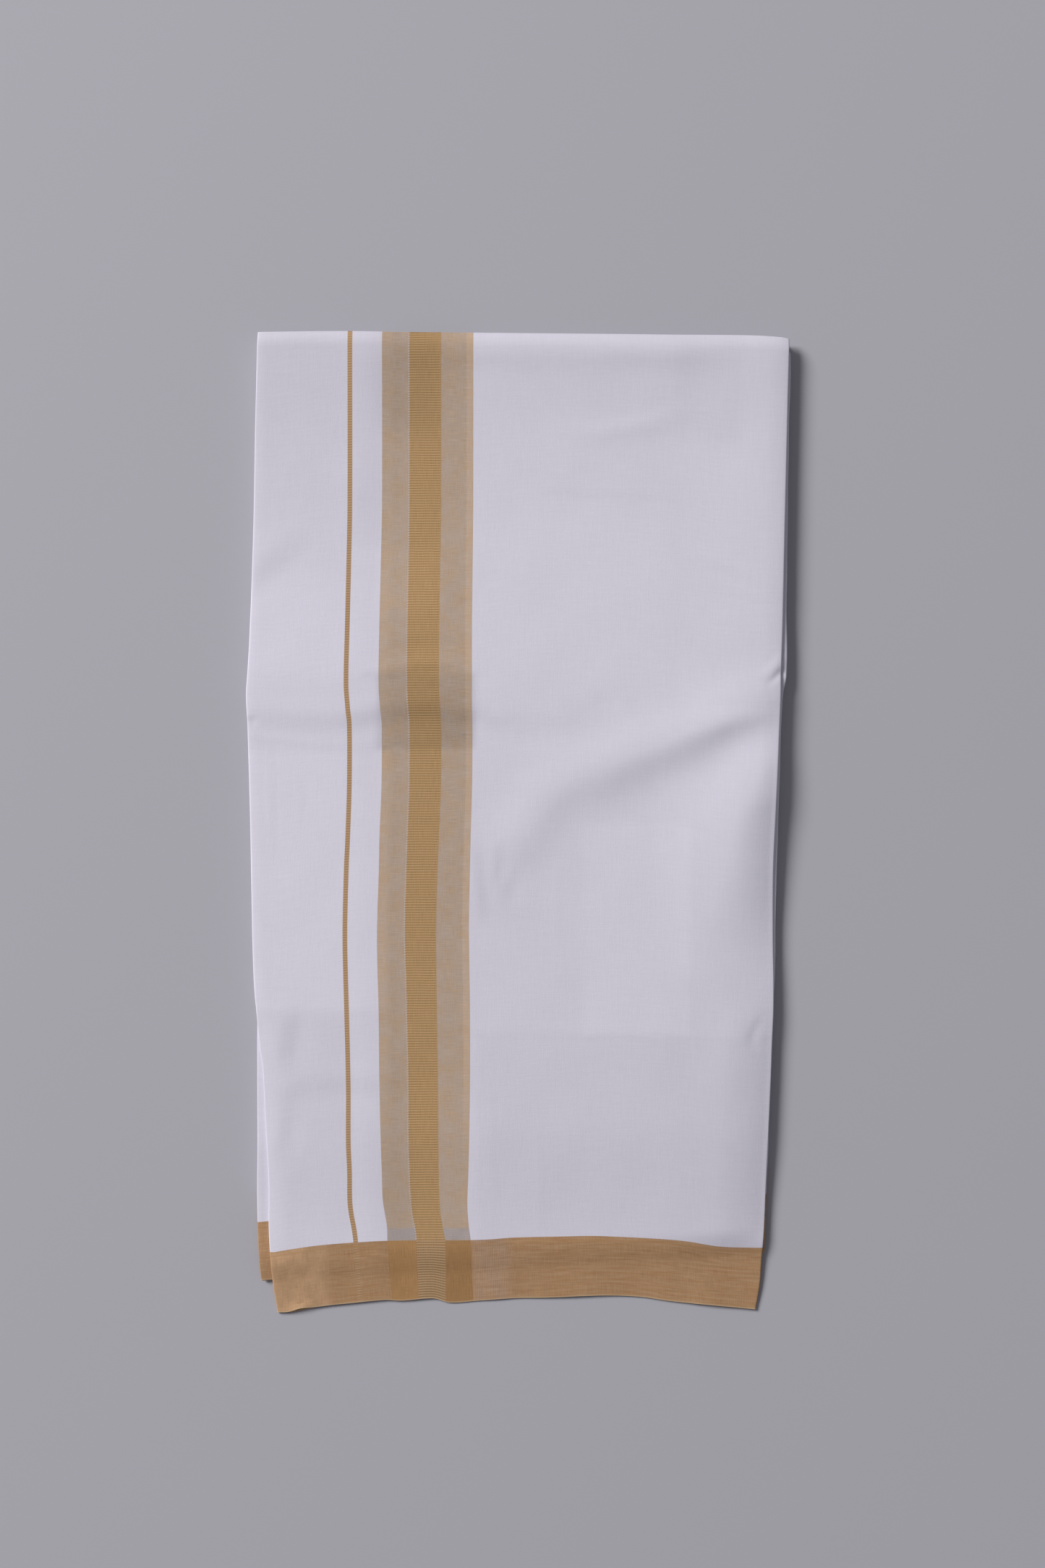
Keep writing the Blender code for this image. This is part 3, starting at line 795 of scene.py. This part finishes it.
def fold_reach(stack):
    """How far a fold's outside lies from the place where its leg ends."""
    return 0.5 * stack.pitch + ply_offset(stack) + 0.5 * PLY_THICKNESS


def settle(rows, x_at, hem, end):
    """Places whose x depends on y and whose y depends on x, found in a few rounds."""
    y = mix(-EVEN_END, EVEN_END, rows)
    x = x_at(y)
    for _ in range(SETTLING_ROUNDS):
        y = mix(hem(x), end(x), rows)
        x = x_at(y)
    return x, y


def leg(leaf, rows, start, stop):
    """A flat stretch of a leaf. start and stop are functions of y, one column for each share."""
    def make(shares):
        rows_grid, shares_grid = np.meshgrid(rows, shares, indexing="ij")
        x, y = settle(rows_grid, lambda y: mix(start(y), stop(y), shares_grid), leaf.hem, leaf.end)
        stack = stack_at(x, y)
        z = leaf.height(stack, leaf.slot)
        flat = np.zeros_like(x)
        return Patch(x, y, z, flat, flat + leaf.up, ply_offset(stack))
    return make


def nose(first, second, side, rows, turns):
    """The half turn from one leaf to the next, round a fold at the left or the right."""
    edge = first.left if side < 0 else first.right
    rows_grid, turn = np.meshgrid(rows, turns, indexing="ij")
    share = turn / math.pi

    def hem(x):
        return mix(first.hem(x), second.hem(x), ease(share))

    def end(x):
        return mix(first.end(x), second.end(x), ease(share))

    def centre(y):
        stack = stack_at(edge(y) - side, y)
        return edge(y) - side * fold_reach(stack)

    x, y = settle(rows_grid, centre, hem, end)
    stack = stack_at(x, y)
    first_z = first.height(stack, first.slot)
    second_z = second.height(stack, second.slot)
    radius = 0.5 * np.abs(first_z - second_z)
    upward = np.sign(first_z - second_z)
    out_x = side * np.sin(turn)
    out_z = upward * np.cos(turn)
    facing = np.where(first.up * upward > 0, 1.0, -1.0)
    return Patch(x + radius * out_x, y, 0.5 * (first_z + second_z) + radius * out_z,
                 facing * out_x, facing * out_z, ply_offset(stack))


def joined(patches):
    """Patches side by side, without the shared column twice."""
    fields = []
    for field in zip(*patches):
        fields.append(np.concatenate([field[0]] + [part[:, 1:] for part in field[1:]], axis=1))
    return Patch(*fields)


print("A fold in the middle of the stack reaches",
      round(float(fold_reach(stack_at(np.array(0.0), np.array(0.0)))), 2), "mm past its leg")

# %% [markdown]
# ## From the folded line to a sheet
# Blender's grid primitive is a flat sheet with its points in neat rows. Each
# of its points is moved to the place where that thread crossing lies in the
# folded cloth, its UV map is set to the place on the flat cloth, in metres, and
# Solidify gives the ply its thickness. The rows run up one ply from the hem,
# round the long fold, and back down the other ply.

# %% Sheets
FOLD_TURNS = np.linspace(0.0, math.pi, 7)
UNDER_PLY_SET_BACK = 0.8
HIDDEN_PLY_SET_BACK = 0.5
END_SHARPNESS = 8
SMOOTH_ANGLE = math.radians(50.0)


def two_plies(patch, rows, hem_in):
    """Points of both plies, row by row: up the first, round the long fold and down the second."""
    tip = patch.ply[-1]
    off_x = patch.across_x * patch.ply
    off_z = patch.across_z * patch.ply
    by_fold = rows[:, None] ** END_SHARPNESS
    by_hem = (1.0 - rows[:, None]) ** END_SHARPNESS
    front = np.stack([patch.x + off_x, patch.y, patch.z + off_z], axis=2)
    front[:, :, 1] -= by_fold * tip
    turned = []
    for turn in FOLD_TURNS[1:-1]:
        offset = math.cos(turn) * tip
        turned.append(np.stack([patch.x[-1] + patch.across_x[-1] * offset,
                                patch.y[-1] - tip + math.sin(turn) * tip,
                                patch.z[-1] + patch.across_z[-1] * offset], axis=1))
    back = np.stack([patch.x - off_x, patch.y, patch.z - off_z], axis=2)
    back[:, :, 1] += hem_in * by_hem - by_fold * tip
    return np.concatenate([front, np.array(turned), back[::-1]])


def sheet_object(name, points, u, v, painted_shading_and_backing, material):
    """A grid whose points are moved to their places, with a UV map in metres of flat cloth."""
    steps, columns = points.shape[0] - 1, points.shape[1] - 1
    bpy.ops.mesh.primitive_grid_add(x_subdivisions=columns, y_subdivisions=steps, size=1.0)
    sheet = bpy.context.object
    sheet.name = name
    sheet.data.name = name
    count = len(sheet.data.vertices)
    flat = np.empty(count * 3)
    sheet.data.vertices.foreach_get("co", flat)
    flat = flat.reshape(count, 3)
    column = np.rint((flat[:, 0] + 0.5) * columns).astype(int)
    row = np.rint((flat[:, 1] + 0.5) * steps).astype(int)
    sheet.data.vertices.foreach_set("co", (points[row, column] * MM).ravel())
    corners = np.empty(len(sheet.data.loops), dtype=int)
    sheet.data.loops.foreach_get("vertex_index", corners)
    uv_map = sheet.data.uv_layers[0]
    uv_map.name = "Cloth"
    places = np.stack([u[row, column][corners], v[row, column][corners]], axis=1) * MM
    uv_map.data.foreach_set("uv", places.ravel())
    # Painted shading and backing: lighter and darker patches, partly see-through of the plies behind,
    # partly painted light and shade.
    tone = sheet.data.attributes.new("PaintedShadingAndBacking", "FLOAT", "POINT")
    tone.data.foreach_set("value", painted_shading_and_backing[row, column].astype(np.float32))
    sheet.data.update()
    ply = sheet.modifiers.new("Ply", "SOLIDIFY")
    ply.thickness = PLY_THICKNESS * MM
    ply.offset = 0.0
    bpy.ops.object.modifier_apply(modifier=ply.name)
    bpy.ops.object.shade_smooth_by_angle(angle=SMOOTH_ANGLE)
    sheet.data.materials.append(material)
    sheet.select_set(False)
    print(name, len(sheet.data.polygons) * 2, "triangles")
    return sheet


print("Each long fold has", len(FOLD_TURNS) - 1, "steps")

# %% [markdown]
# ## Where the stripes lie
# The stripes are woven straight, but a cloth that was folded by hand lies a
# little askew, so they wander by a millimetre or two. Four lines of the band
# group are followed down the leaf. At every point the place on the flat cloth
# is read off between them, so the woven stripes wander as the threads do.

# %% Stripe places
LINE_PLACE = 118.6
BAND_PLACES = (139.7, 158.1, 178.8, 199.4)
LINE_HALF_WIDTH = 1.55
BORDER_WIDTH = 39.0
Thread = namedtuple("Thread", "y line band_left rib_left rib_right band_right")
Border = namedtuple("Border", "x y")

STRIPES = [
    Thread(-312, -104.2, -83.4, -65.6, -47.9, -29.9),
    Thread(-274, -106.5, -85.8, -66.7, -47.9, -31.3),
    Thread(-265, -107.7, -86.0, -67.6, -49.6, -32.6),
    Thread(-256, -109.4, -87.3, -69.5, -51.0, -33.3),
    Thread(-247, -110.3, -88.8, -70.4, -51.8, -33.5),
    Thread(-228, -110.4, -89.4, -71.2, -52.2, -32.8),
    Thread(-209, -111.1, -90.0, -71.8, -52.4, -32.3),
    Thread(-171, -111.1, -90.9, -71.9, -52.6, -31.7),
    Thread(-124, -112.2, -91.4, -72.8, -53.4, -31.7),
    Thread(-86, -113.2, -92.4, -73.9, -53.8, -32.2),
    Thread(-67, -113.3, -92.4, -74.2, -53.9, -32.4),
    Thread(-29, -112.4, -91.2, -73.2, -52.9, -31.7),
    Thread(-10, -111.5, -90.9, -72.5, -52.0, -31.3),
    Thread(27, -110.4, -89.5, -71.3, -50.6, -30.3),
    Thread(65, -110.5, -89.5, -71.3, -50.6, -30.2),
    Thread(75, -111.5, -90.5, -72.0, -51.2, -30.4),
    Thread(91, -112.6, -91.5, -72.8, -52.0, -30.4),
    Thread(131, -111.7, -90.9, -72.5, -51.8, -30.4),
    Thread(169, -110.8, -90.0, -71.8, -51.2, -30.0),
    Thread(207, -110.1, -89.2, -71.3, -50.6, -29.6),
    Thread(322, -110.1, -89.2, -71.3, -50.6, -29.5),
]
BORDER_EDGE = [
    Border(-160, -280.8),
    Border(-150, -279.0),
    Border(-129, -276.1),
    Border(-98, -273.8),
    Border(-87, -273.4),
    Border(-25, -273.0),
    Border(-4, -271.5),
    Border(32, -270.7),
    Border(48, -270.4),
    Border(68, -271.1),
    Border(89, -272.2),
    Border(110, -274.0),
    Border(131, -277.5),
    Border(155, -278.6),
]
border_edge = curve(BORDER_EDGE)
stripe_curves = [curve([(row.y, row[place]) for row in STRIPES]) for place in range(1, 6)]


def cloth_length_at(x, y):
    """How far along the flat cloth a place on the top leaf lies, from its first end."""
    lines = [line(y) for line in stripe_curves]
    places = (LINE_PLACE,) + BAND_PLACES
    result = places[0] + x - lines[0]
    for index in range(4):
        between = (x - lines[index]) / (lines[index + 1] - lines[index])
        inside = mix(places[index], places[index + 1], between)
        result = np.where(x > lines[index], inside, result)
    return np.where(x > lines[4], places[4] + x - lines[4], result)


def cloth_width_at(x, y, hem):
    """How far from the selvedge a place lies, with the border's inner edge where it was seen."""
    inner = np.maximum(border_edge(x) - hem, 1.0)
    in_border = BORDER_WIDTH * (y - hem) / inner
    return np.where(y < hem + inner, in_border, BORDER_WIDTH + y - hem - inner)


print("The band group starts", BAND_PLACES[0], "mm from the cloth's first end")

# %% [markdown]
# ## Painted shading, and what lies behind
# Fine cotton is a little see-through. Where the leaf lies tight on white plies
# it looks whiter, and where it lies loose or over a dark band it looks greyer.
# The patches here lighten and darken the top leaf's colour: partly for that
# see-through, and partly as painted light and shade that stand in for the
# shading of creases and for uneven lamp light. The first patches lie on the
# white and the last six on the stripes, with a turned-under band the darkest of
# all. Each point of the leaf keeps the sum of its patches as an attribute that
# the shader reads.

# %% Painted shading and backing
PaintedShadingAndBacking = namedtuple("PaintedShadingAndBacking", "left right low high soft share")

PAINTED_SHADING_AND_BACKING = [
    PaintedShadingAndBacking(-260, 260, 262, 400, 60, -0.05),
    PaintedShadingAndBacking(-260, -114, 150, 400, 40, -0.035),
    PaintedShadingAndBacking(104, 146, 250, 400, 14, -0.03),
    PaintedShadingAndBacking(-260, 106, 84, 204, 40, 0.035),
    PaintedShadingAndBacking(-260, -86, 96, 160, 24, 0.035),
    PaintedShadingAndBacking(42, 112, -139, 0, 6, 0.035),
    PaintedShadingAndBacking(-34, 14, -66, -16, 22, -0.03),
    PaintedShadingAndBacking(-26, 260, -400, -139, 5, -0.03),
    PaintedShadingAndBacking(100, 148, -400, -100, 24, -0.04),
    PaintedShadingAndBacking(-260, -86, -122, 46, 7, 0.05),
    PaintedShadingAndBacking(-260, -110, -200, -126, 14, -0.03),
    PaintedShadingAndBacking(-110, -86, -400, 180, 8, 0.04),
    PaintedShadingAndBacking(-93, -28, 48.5, 97.5, 5, -0.15),
    PaintedShadingAndBacking(-52, -28, 54, 74, 4, -0.05),
    PaintedShadingAndBacking(-92, -52, 256, 400, 20, -0.08),
    PaintedShadingAndBacking(-92, -52, 138, 180, 12, 0.06),
    PaintedShadingAndBacking(-74, -30, -268, -170, 26, 0.04),
]


def soft_between(place, low, high, soft):
    """1 between low and high, 0 outside, with steps soft wide."""
    return ease((place - low) / soft + 0.5) * ease((high - place) / soft + 0.5)


def painted_shading_and_backing_at(x, y):
    """How much lighter or darker the colour is painted at each place: partly what lies behind, partly
    painted light and shade.
    """
    total = np.zeros_like(x)
    for patch in PAINTED_SHADING_AND_BACKING:
        across = soft_between(x, patch.left, patch.right, patch.soft)
        total += patch.share * across * soft_between(y, patch.low, patch.high, patch.soft)
    return total


print(len(PAINTED_SHADING_AND_BACKING), "patches of backing")

# %% [markdown]
# ## The woven cotton
# One shader weaves the whole cloth from its UV map, which is the place on the
# flat cloth in metres: u runs along the length and v from selvedge to
# selvedge. Warp threads run along the length, so the gold warp gives the
# borders. Weft threads run across, so the gold weft gives the thin line and
# the bands, and where gold crosses gold the colour deepens. The middle band is
# ribbed: its weft is packed over thick cords 1.65 mm apart, and a painted
# highlight runs along its edge toward the lamp. Fine uneven threads, slubs,
# run both ways through everything.

# %% Woven cotton
WHITE = opaque(0.74, 0.71, 0.80)
TAN_GREY = opaque(0.52, 0.422, 0.362)
TAN_WARM = opaque(0.535, 0.36, 0.222)
TAN_PALE = opaque(0.438, 0.386, 0.382)
RIB_LIGHT = opaque(0.64, 0.408, 0.208)
RIB_DARK = opaque(0.275, 0.155, 0.05)
LINE_GOLD = opaque(0.395, 0.212, 0.08)
LINE_LIGHT = opaque(0.58, 0.40, 0.255)
BORDER_GOLD = opaque(0.435, 0.237, 0.112)
BORDER_LIGHT = opaque(0.52, 0.32, 0.178)
FLAP_GOLD = opaque(0.64, 0.395, 0.225)
CROSSING_GOLD = opaque(0.465, 0.255, 0.108)
CROSSING_PALE = opaque(0.55, 0.345, 0.185)
CROSSING_DARK = opaque(0.20, 0.12, 0.05)
SELVEDGE_PALE = opaque(0.60, 0.44, 0.27)
THREAD_PITCH = 0.00042
TAN_PITCH = 0.00072
COLUMN_PITCH = 0.0012
RIB_PITCH = 0.00165
FLAP_END = 99.0
GHOST_END = 224.0
WARM_START_WIDTH = 7.0
WARM_END_WIDTH = 4.3
# Width of the painted highlight on the ribbed band's lamp-facing edge.
PAINTED_GLINT_WIDTH = 0.8
PRESSED_ACROSS = (32.5, 42.0)
PRESSED_ALONG = (80.0, GHOST_END)
PALE_WIDTH = 8.0
UPPER_START = 120.0
BORDER_LINE = (36.0, 36.7)
SELVEDGE_WIDTH = 0.7
EDGE_SOFT = 0.3
WIDTH_M = CLOTH_WIDTH * MM

cotton = Shader("Woven cotton")
uv = cotton.add("ShaderNodeUVMap", {"uv_map": "Cloth"}, {})
u = cotton.add("ShaderNodeSeparateXYZ", {}, {0: uv}, output=0)
v = cotton.add("ShaderNodeSeparateXYZ", {}, {0: uv}, output=1)
from_selvedge = 0.5 * WIDTH_M - abs(v - 0.5 * WIDTH_M)


def between(place, low, high, soft=0.35):
    """1 between two places in millimetres, and 0 outside, with soft edges."""
    middle = 0.5 * (low + high) * MM
    half = 0.5 * (high - low) * MM
    return ((half - abs(place - middle)) / (soft * MM) + 0.5).clamped()


line_mask = between(u, LINE_PLACE - LINE_HALF_WIDTH, LINE_PLACE + LINE_HALF_WIDTH)
tan_mask = between(u, BAND_PLACES[0], BAND_PLACES[3])
warm_start = between(u, 0.0, BAND_PLACES[0] + WARM_START_WIDTH, 5.0)
warm_end = between(u, BAND_PLACES[3] - WARM_END_WIDTH, BAND_PLACES[3], 1.2)
warm_mask = warm_end + 0.5 * warm_start
rib_mask = between(u, BAND_PLACES[1], BAND_PLACES[2], 0.6)
# A painted highlight: a pale line, dotted by the cords, on the edge of the ribbed band that faces the lamp.
painted_rib_glint = between(u, BAND_PLACES[1] - PAINTED_GLINT_WIDTH, BAND_PLACES[1])
far_tan = between(u, BAND_PLACES[2], BAND_PLACES[3])
ghost_mask = between(u, BAND_PLACES[3], GHOST_END, 8.0)
pressed_mask = between(from_selvedge, *PRESSED_ACROSS, 5.0) * between(u, *PRESSED_ALONG, 12.0)
pale_mask = between(from_selvedge, BORDER_WIDTH, BORDER_WIDTH + PALE_WIDTH, 2.0)
upper_mask = between(from_selvedge, UPPER_START, CLOTH_WIDTH, 60.0)
border_mask = ((BORDER_WIDTH * MM - from_selvedge) / (EDGE_SOFT * MM) + 0.5).clamped()
border_line = between(from_selvedge, *BORDER_LINE)
selvedge_mask = ((SELVEDGE_WIDTH * MM - from_selvedge) / (EDGE_SOFT * MM) + 0.5).clamped()
flap_mask = between(u, 0.0, FLAP_END, 5.0)
# Painted shading and backing read from the leaf: partly see-through, partly painted light and shade of
# creases and uneven lamp light.
painted_shading_and_backing = cotton.add("ShaderNodeAttribute", {"attribute_name": "PaintedShadingAndBacking"}, {}, output=2)

along_slubs = cotton.noise(uv, (110.0, 2100.0, 1.0))
across_slubs = cotton.noise(uv, (2100.0, 110.0, 1.0))
coarse_along = cotton.noise(uv, (45.0, 700.0, 1.0))
coarse_across = cotton.noise(uv, (700.0, 45.0, 1.0))
patches = cotton.noise(uv, (95.0, 95.0, 1.0), detail=3.0)
clouds = cotton.noise(uv, (26.0, 26.0, 1.0), detail=3.0)
weave = u.wave(THREAD_PITCH) * v.wave(THREAD_PITCH)
rib_wave = v.wave(RIB_PITCH)
rib_strength = (patches * 1.8 - 0.35).clamped()
specks = cotton.noise(uv, (800.0, 1100.0, 1.0))
tan_threads = v.wave(TAN_PITCH) * (0.4 + 0.9 * coarse_along) + 0.5 * u.wave(TAN_PITCH)
columns = u.wave(COLUMN_PITCH)

streaks = 0.05 * along_slubs + 0.05 * across_slubs + 0.045 * coarse_along + 0.045 * coarse_across
# The white, tan, ribs and border each carry the painted shading and backing.
white = cotton.tint(WHITE, 0.89 + streaks + 0.03 * clouds + painted_shading_and_backing)
tan = cotton.mix((0.9 * patches + 1.5 * specks - 0.75).clamped(), TAN_GREY, TAN_WARM)
tan = cotton.mix(warm_mask * 0.2, tan, TAN_WARM)
tan = cotton.mix(pale_mask * 0.8, tan, TAN_PALE)
tan_slubs = 0.30 * along_slubs + 0.20 * across_slubs + 0.16 * specks
edge_light = warm_mask * (0.04 + 0.10 * upper_mask)
tan = cotton.tint(tan, 0.64 + tan_slubs + 0.04 * tan_threads + edge_light + painted_shading_and_backing)
rib_share = (0.56 + 0.34 * rib_strength * rib_wave + 0.40 * (across_slubs - 0.5) + 0.04 * columns).clamped()
ribs = cotton.tint(cotton.mix(rib_share, RIB_DARK, RIB_LIGHT), 1.0 + painted_shading_and_backing)
tick_share = (0.5 + 0.32 * rib_wave).clamped()
ticks = cotton.mix(tick_share, LINE_GOLD, LINE_LIGHT)

border = cotton.mix((coarse_along * 1.6 - 0.3).clamped(), BORDER_GOLD, BORDER_LIGHT)
mottled = cotton.mix((patches * 2.6 - 0.8).clamped(), BORDER_LIGHT, FLAP_GOLD)
border = cotton.mix(flap_mask * 0.8, border, mottled)
border = cotton.mix(ghost_mask * (0.07 + 0.07 * columns), border, WHITE)
border_slubs = 0.28 * along_slubs + 0.36 * across_slubs + 0.10 * specks - 0.12 * pressed_mask
border = cotton.tint(border, 0.63 + border_slubs + painted_shading_and_backing)
crossing = cotton.tint(CROSSING_GOLD, 0.68 + 0.20 * along_slubs + 0.44 * across_slubs - 0.12 * far_tan)
crossing_share = (0.78 + 0.42 * rib_wave + 0.12 * columns + 0.3 * (across_slubs - 0.5)).clamped()
crossing_ribs = cotton.mix(crossing_share, CROSSING_DARK, CROSSING_PALE)
crossing_ticks = cotton.mix(0.22 * tick_share, border, SELVEDGE_PALE)
border = cotton.mix(tan_mask, border, crossing)
border = cotton.mix(rib_mask, border, crossing_ribs)
border = cotton.mix(line_mask, border, crossing_ticks)
border = cotton.mix(border_line * 0.45, border, CROSSING_GOLD)
border = cotton.mix(selvedge_mask * 0.55, border, SELVEDGE_PALE)

colour = cotton.mix(tan_mask, white, tan)
# The painted highlight on the ribbed band's lit edge, mixed toward white.
colour = cotton.mix(painted_rib_glint * (0.14 + 0.5 * rib_strength * rib_wave).clamped(), colour, WHITE)
colour = cotton.mix(rib_mask, colour, ribs)
colour = cotton.mix(line_mask, colour, ticks)
colour = cotton.mix(border_mask, colour, border)
cotton.feed(cotton.surface.inputs["Base Color"], colour)

gold_share = (rib_mask + line_mask + border_mask).clamped()
cotton.feed(cotton.surface.inputs["Roughness"], 0.88 - 0.16 * gold_share)
cotton.surface.inputs["Sheen Weight"].default_value = 0.12
cotton.surface.inputs["Sheen Roughness"].default_value = 0.4
cotton.surface.inputs["Specular IOR Level"].default_value = 0.25

raised_cords = (rib_mask + 0.7 * line_mask) * rib_wave * 1.1
raised = 0.25 * weave + 0.7 * along_slubs + 0.7 * across_slubs + raised_cords
bump = cotton.add("ShaderNodeBump", {}, {"Strength": 0.5, "Distance": 0.00012, "Height": raised})
cotton.feed(cotton.surface.inputs["Normal"], bump)
print("Woven cotton:", len(cotton.tree.nodes), "nodes")

# %% [markdown]
# ## The top leaf
# The leaf that shows is folded under at both sides: its first end as a flap
# 60 mm wide at the left, and at the right round the fold into the leaf below,
# of which the first stretch belongs to this piece. It has close rows and
# columns where the creases, the folds and the hem need them.

# %% Top leaf
TOP_ROWS = spread([(0.0, 0.015, 6), (0.015, 0.10, 24), (0.10, 0.55, 82), (0.55, 0.68, 42), (0.68, 0.97, 54),
                   (0.97, 1.0, 13)])
BACK_EVERY = 6
BACK_EVERY_CREASED = 2
CREASED_ROWS = (0.40, 0.66)
TOP_COLUMNS = spread([(0.0, 0.03, 7), (0.03, 0.96, 116), (0.96, 1.0, 10)])
NOSE_TURNS = np.linspace(0.0, math.pi, 9)


def reach_at(edge, side):
    """Where a leg ends before the fold at an edge, as a function of y."""
    def place(y):
        x = edge(y)
        return x - side * fold_reach(stack_at(x - side, y))
    return place


top_start = reach_at(top_left, -1)
top_stop = reach_at(top_right, 1)


def flap_start(y):
    return top_left(y) + FLAP_WIDTH


def return_stop(y):
    return top_right(y) - RETURN_WIDTH


flap_leg = leg(leaves["flap"], TOP_ROWS, flap_start, top_start)(np.linspace(0.0, 1.0, 9))
flap_nose = nose(leaves["flap"], leaves[10], -1, TOP_ROWS, NOSE_TURNS)
top_leg = leg(leaves[10], TOP_ROWS, top_start, top_stop)(TOP_COLUMNS)
top_nose = nose(leaves[10], leaves["return"], 1, TOP_ROWS, NOSE_TURNS)
return_leg = leg(leaves["return"], TOP_ROWS, top_stop, return_stop)(np.linspace(0.0, 1.0, 4))


def lengths_along(patch, start):
    """The length of cloth passed at each column, from a given start."""
    run = np.hypot(np.diff(patch.x, axis=1), np.diff(patch.z, axis=1))
    return start + np.concatenate([np.zeros((len(run), 1)), np.cumsum(run, axis=1)], axis=1)


def top_leaf_uv():
    """Cloth places of the whole piece: read off the stripes on top, and followed round the folds."""
    on_top = cloth_length_at(top_leg.x, top_leg.y)
    before = joined([flap_leg, flap_nose])
    passed = lengths_along(before, 0.0)
    first = on_top[:, :1] - passed[:, -1:] + passed
    after = joined([top_nose, return_leg])
    last = lengths_along(after, on_top[:, -1:])
    return np.concatenate([first, on_top[:, 1:], last[:, 1:]], axis=1)


top_patch = joined([flap_leg, flap_nose, top_leg, top_nose, return_leg])
top_u = top_leaf_uv()
top_v = cloth_width_at(top_patch.x, top_patch.y, top_patch.y[0])


def whole_sheet(name, patch, rows, u_half, v_half, back_rows, hem_in, shading_and_backing_half=None):
    """Both plies of a patch as one sheet. back_rows says which rows the ply that doesn't show keeps."""
    points = two_plies(patch, rows, hem_in)
    fold_rows = len(FOLD_TURNS) - 2
    count = len(rows)
    tip_u = np.repeat(u_half[-1:], fold_rows, axis=0)
    tip_v = 0.5 * CLOTH_WIDTH + np.zeros_like(tip_u)
    full_u = np.concatenate([u_half, tip_u, u_half[::-1]])
    full_v = np.concatenate([v_half, tip_v, CLOTH_WIDTH - v_half[::-1]])
    front = np.arange(count + fold_rows)
    back = count + fold_rows + (count - 1 - np.flatnonzero(back_rows))[::-1]
    kept = np.concatenate([front, back])
    full_shading_and_backing = np.zeros_like(full_u)
    if shading_and_backing_half is not None:
        full_shading_and_backing[:count] = shading_and_backing_half
    return sheet_object(name, points[kept], full_u[kept], full_v[kept], full_shading_and_backing[kept], cotton.material)


order = np.arange(len(TOP_ROWS))
creased = (TOP_ROWS > CREASED_ROWS[0]) & (TOP_ROWS < CREASED_ROWS[1])
top_back_rows = (order % BACK_EVERY == 0) | (creased & (order % BACK_EVERY_CREASED == 0))
top_back_rows[-1] = True
top_leaf_cloth = whole_sheet("top_leaf_cloth", top_patch, TOP_ROWS, top_u, top_v, top_back_rows,
                             UNDER_PLY_SET_BACK, painted_shading_and_backing_at(top_patch.x, top_patch.y))

# %% [markdown]
# ## The leaves below
# The rest of the fan is one long strip, cut where no one can see it so that
# each solid has its own piece of cloth. Every fold at an edge is a real half
# turn of both plies, each at its own distance in, so the edges show the uneven
# rounded layers of folded cloth from every side.

# %% Leaves below
LOWER_ROWS = spread([(0.0, 0.02, 4), (0.02, 0.12, 16), (0.12, 0.62, 74), (0.62, 0.70, 20), (0.70, 0.97, 38),
                     (0.97, 1.0, 6)])
INNER_ROWS = spread([(0.0, 0.02, 4), (0.02, 0.20, 24), (0.20, 0.95, 78), (0.95, 1.0, 8)])
LEG_COLUMNS = spread([(0.0, 0.03, 3), (0.03, 0.97, 8), (0.97, 1.0, 3)])
UPPER_LEG_COLUMNS = spread([(0.0, 0.03, 3), (0.03, 0.97, 44), (0.97, 1.0, 3)])
INNER_TURNS = np.linspace(0.0, math.pi, 8)
CUT_INSIDE = 40.0


def inside(edge, distance):
    """A line that follows an edge at a distance."""
    return lambda y: edge(y) + distance


def fan(numbers, rows, turns, start, stop):
    """The strip from one leaf to the next and on, with a leg for each leaf and a nose between two."""
    patches = []
    for order, number in enumerate(numbers):
        leaf = leaves[number]
        leftward = number % 2 == 1
        near_left = reach_at(leaf.left, -1)
        near_right = reach_at(leaf.right, 1)
        first = near_right if leftward else near_left
        last = near_left if leftward else near_right
        if order == 0:
            first = start
        if order == len(numbers) - 1:
            last = stop
        columns = UPPER_LEG_COLUMNS if number == LEAVES_BELOW else LEG_COLUMNS
        patches.append(leg(leaf, rows, first, last)(columns))
        if order < len(numbers) - 1:
            side = -1 if leftward else 1
            patches.append(nose(leaf, leaves[numbers[order + 1]], side, rows, turns))
    return joined(patches)


def fan_sheet(name, numbers, rows, turns, start, stop):
    """One piece of the fan, with its own stretch of the flat cloth."""
    patch = fan(numbers, rows, turns, start, stop)
    u_half = lengths_along(patch, (10 - numbers[0]) * LEAF_WIDTH + LEAF_WIDTH)
    v_half = patch.y - patch.y[0]
    every_row = np.ones(len(rows), dtype=bool)
    return whole_sheet(name, patch, rows, u_half, v_half, every_row, HIDDEN_PLY_SET_BACK)


lower_leaf_cloth = fan_sheet("lower_leaf_cloth", [9, 8, 7], LOWER_ROWS, NOSE_TURNS,
                             inside(top_right, -RETURN_WIDTH - 1.0), inside(lower_right, -CUT_INSIDE))
hidden_leaves_cloth = fan_sheet("hidden_leaves_cloth", [7, 6, 5, 4, 3, 2], INNER_ROWS, INNER_TURNS,
                                inside(lower_right, -CUT_INSIDE - 1.0), inside(lower_right, -CUT_INSIDE))
bottom_leaf_cloth = fan_sheet("bottom_leaf_cloth", [2, 1], INNER_ROWS, INNER_TURNS,
                              inside(lower_right, 1.0 - CUT_INSIDE), leaves[1].left)

# %% [markdown]
# ## Attach and finish
# Each cloth rides on the one body of the row and stands for its solid, which is
# hidden. The table also lists what stretch of the flat length each cloth is.

DRESSED = [
    (top_leaf_cloth, "top_leaf", (0.452, 1.27), ["lower_leaf_cloth"]),
    (lower_leaf_cloth, "lower_leaf", (0.72, 1.22), ["hidden_leaves_cloth"]),
    (hidden_leaves_cloth, "hidden_leaves", (2.05, 1.21), ["bottom_leaf_cloth"]),
    (bottom_leaf_cloth, "bottom_leaf", (0.37, 1.21), ["floor"]),
]
for piece, node, flat, rests_on in DRESSED:
    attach(piece, "root")
    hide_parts(node)
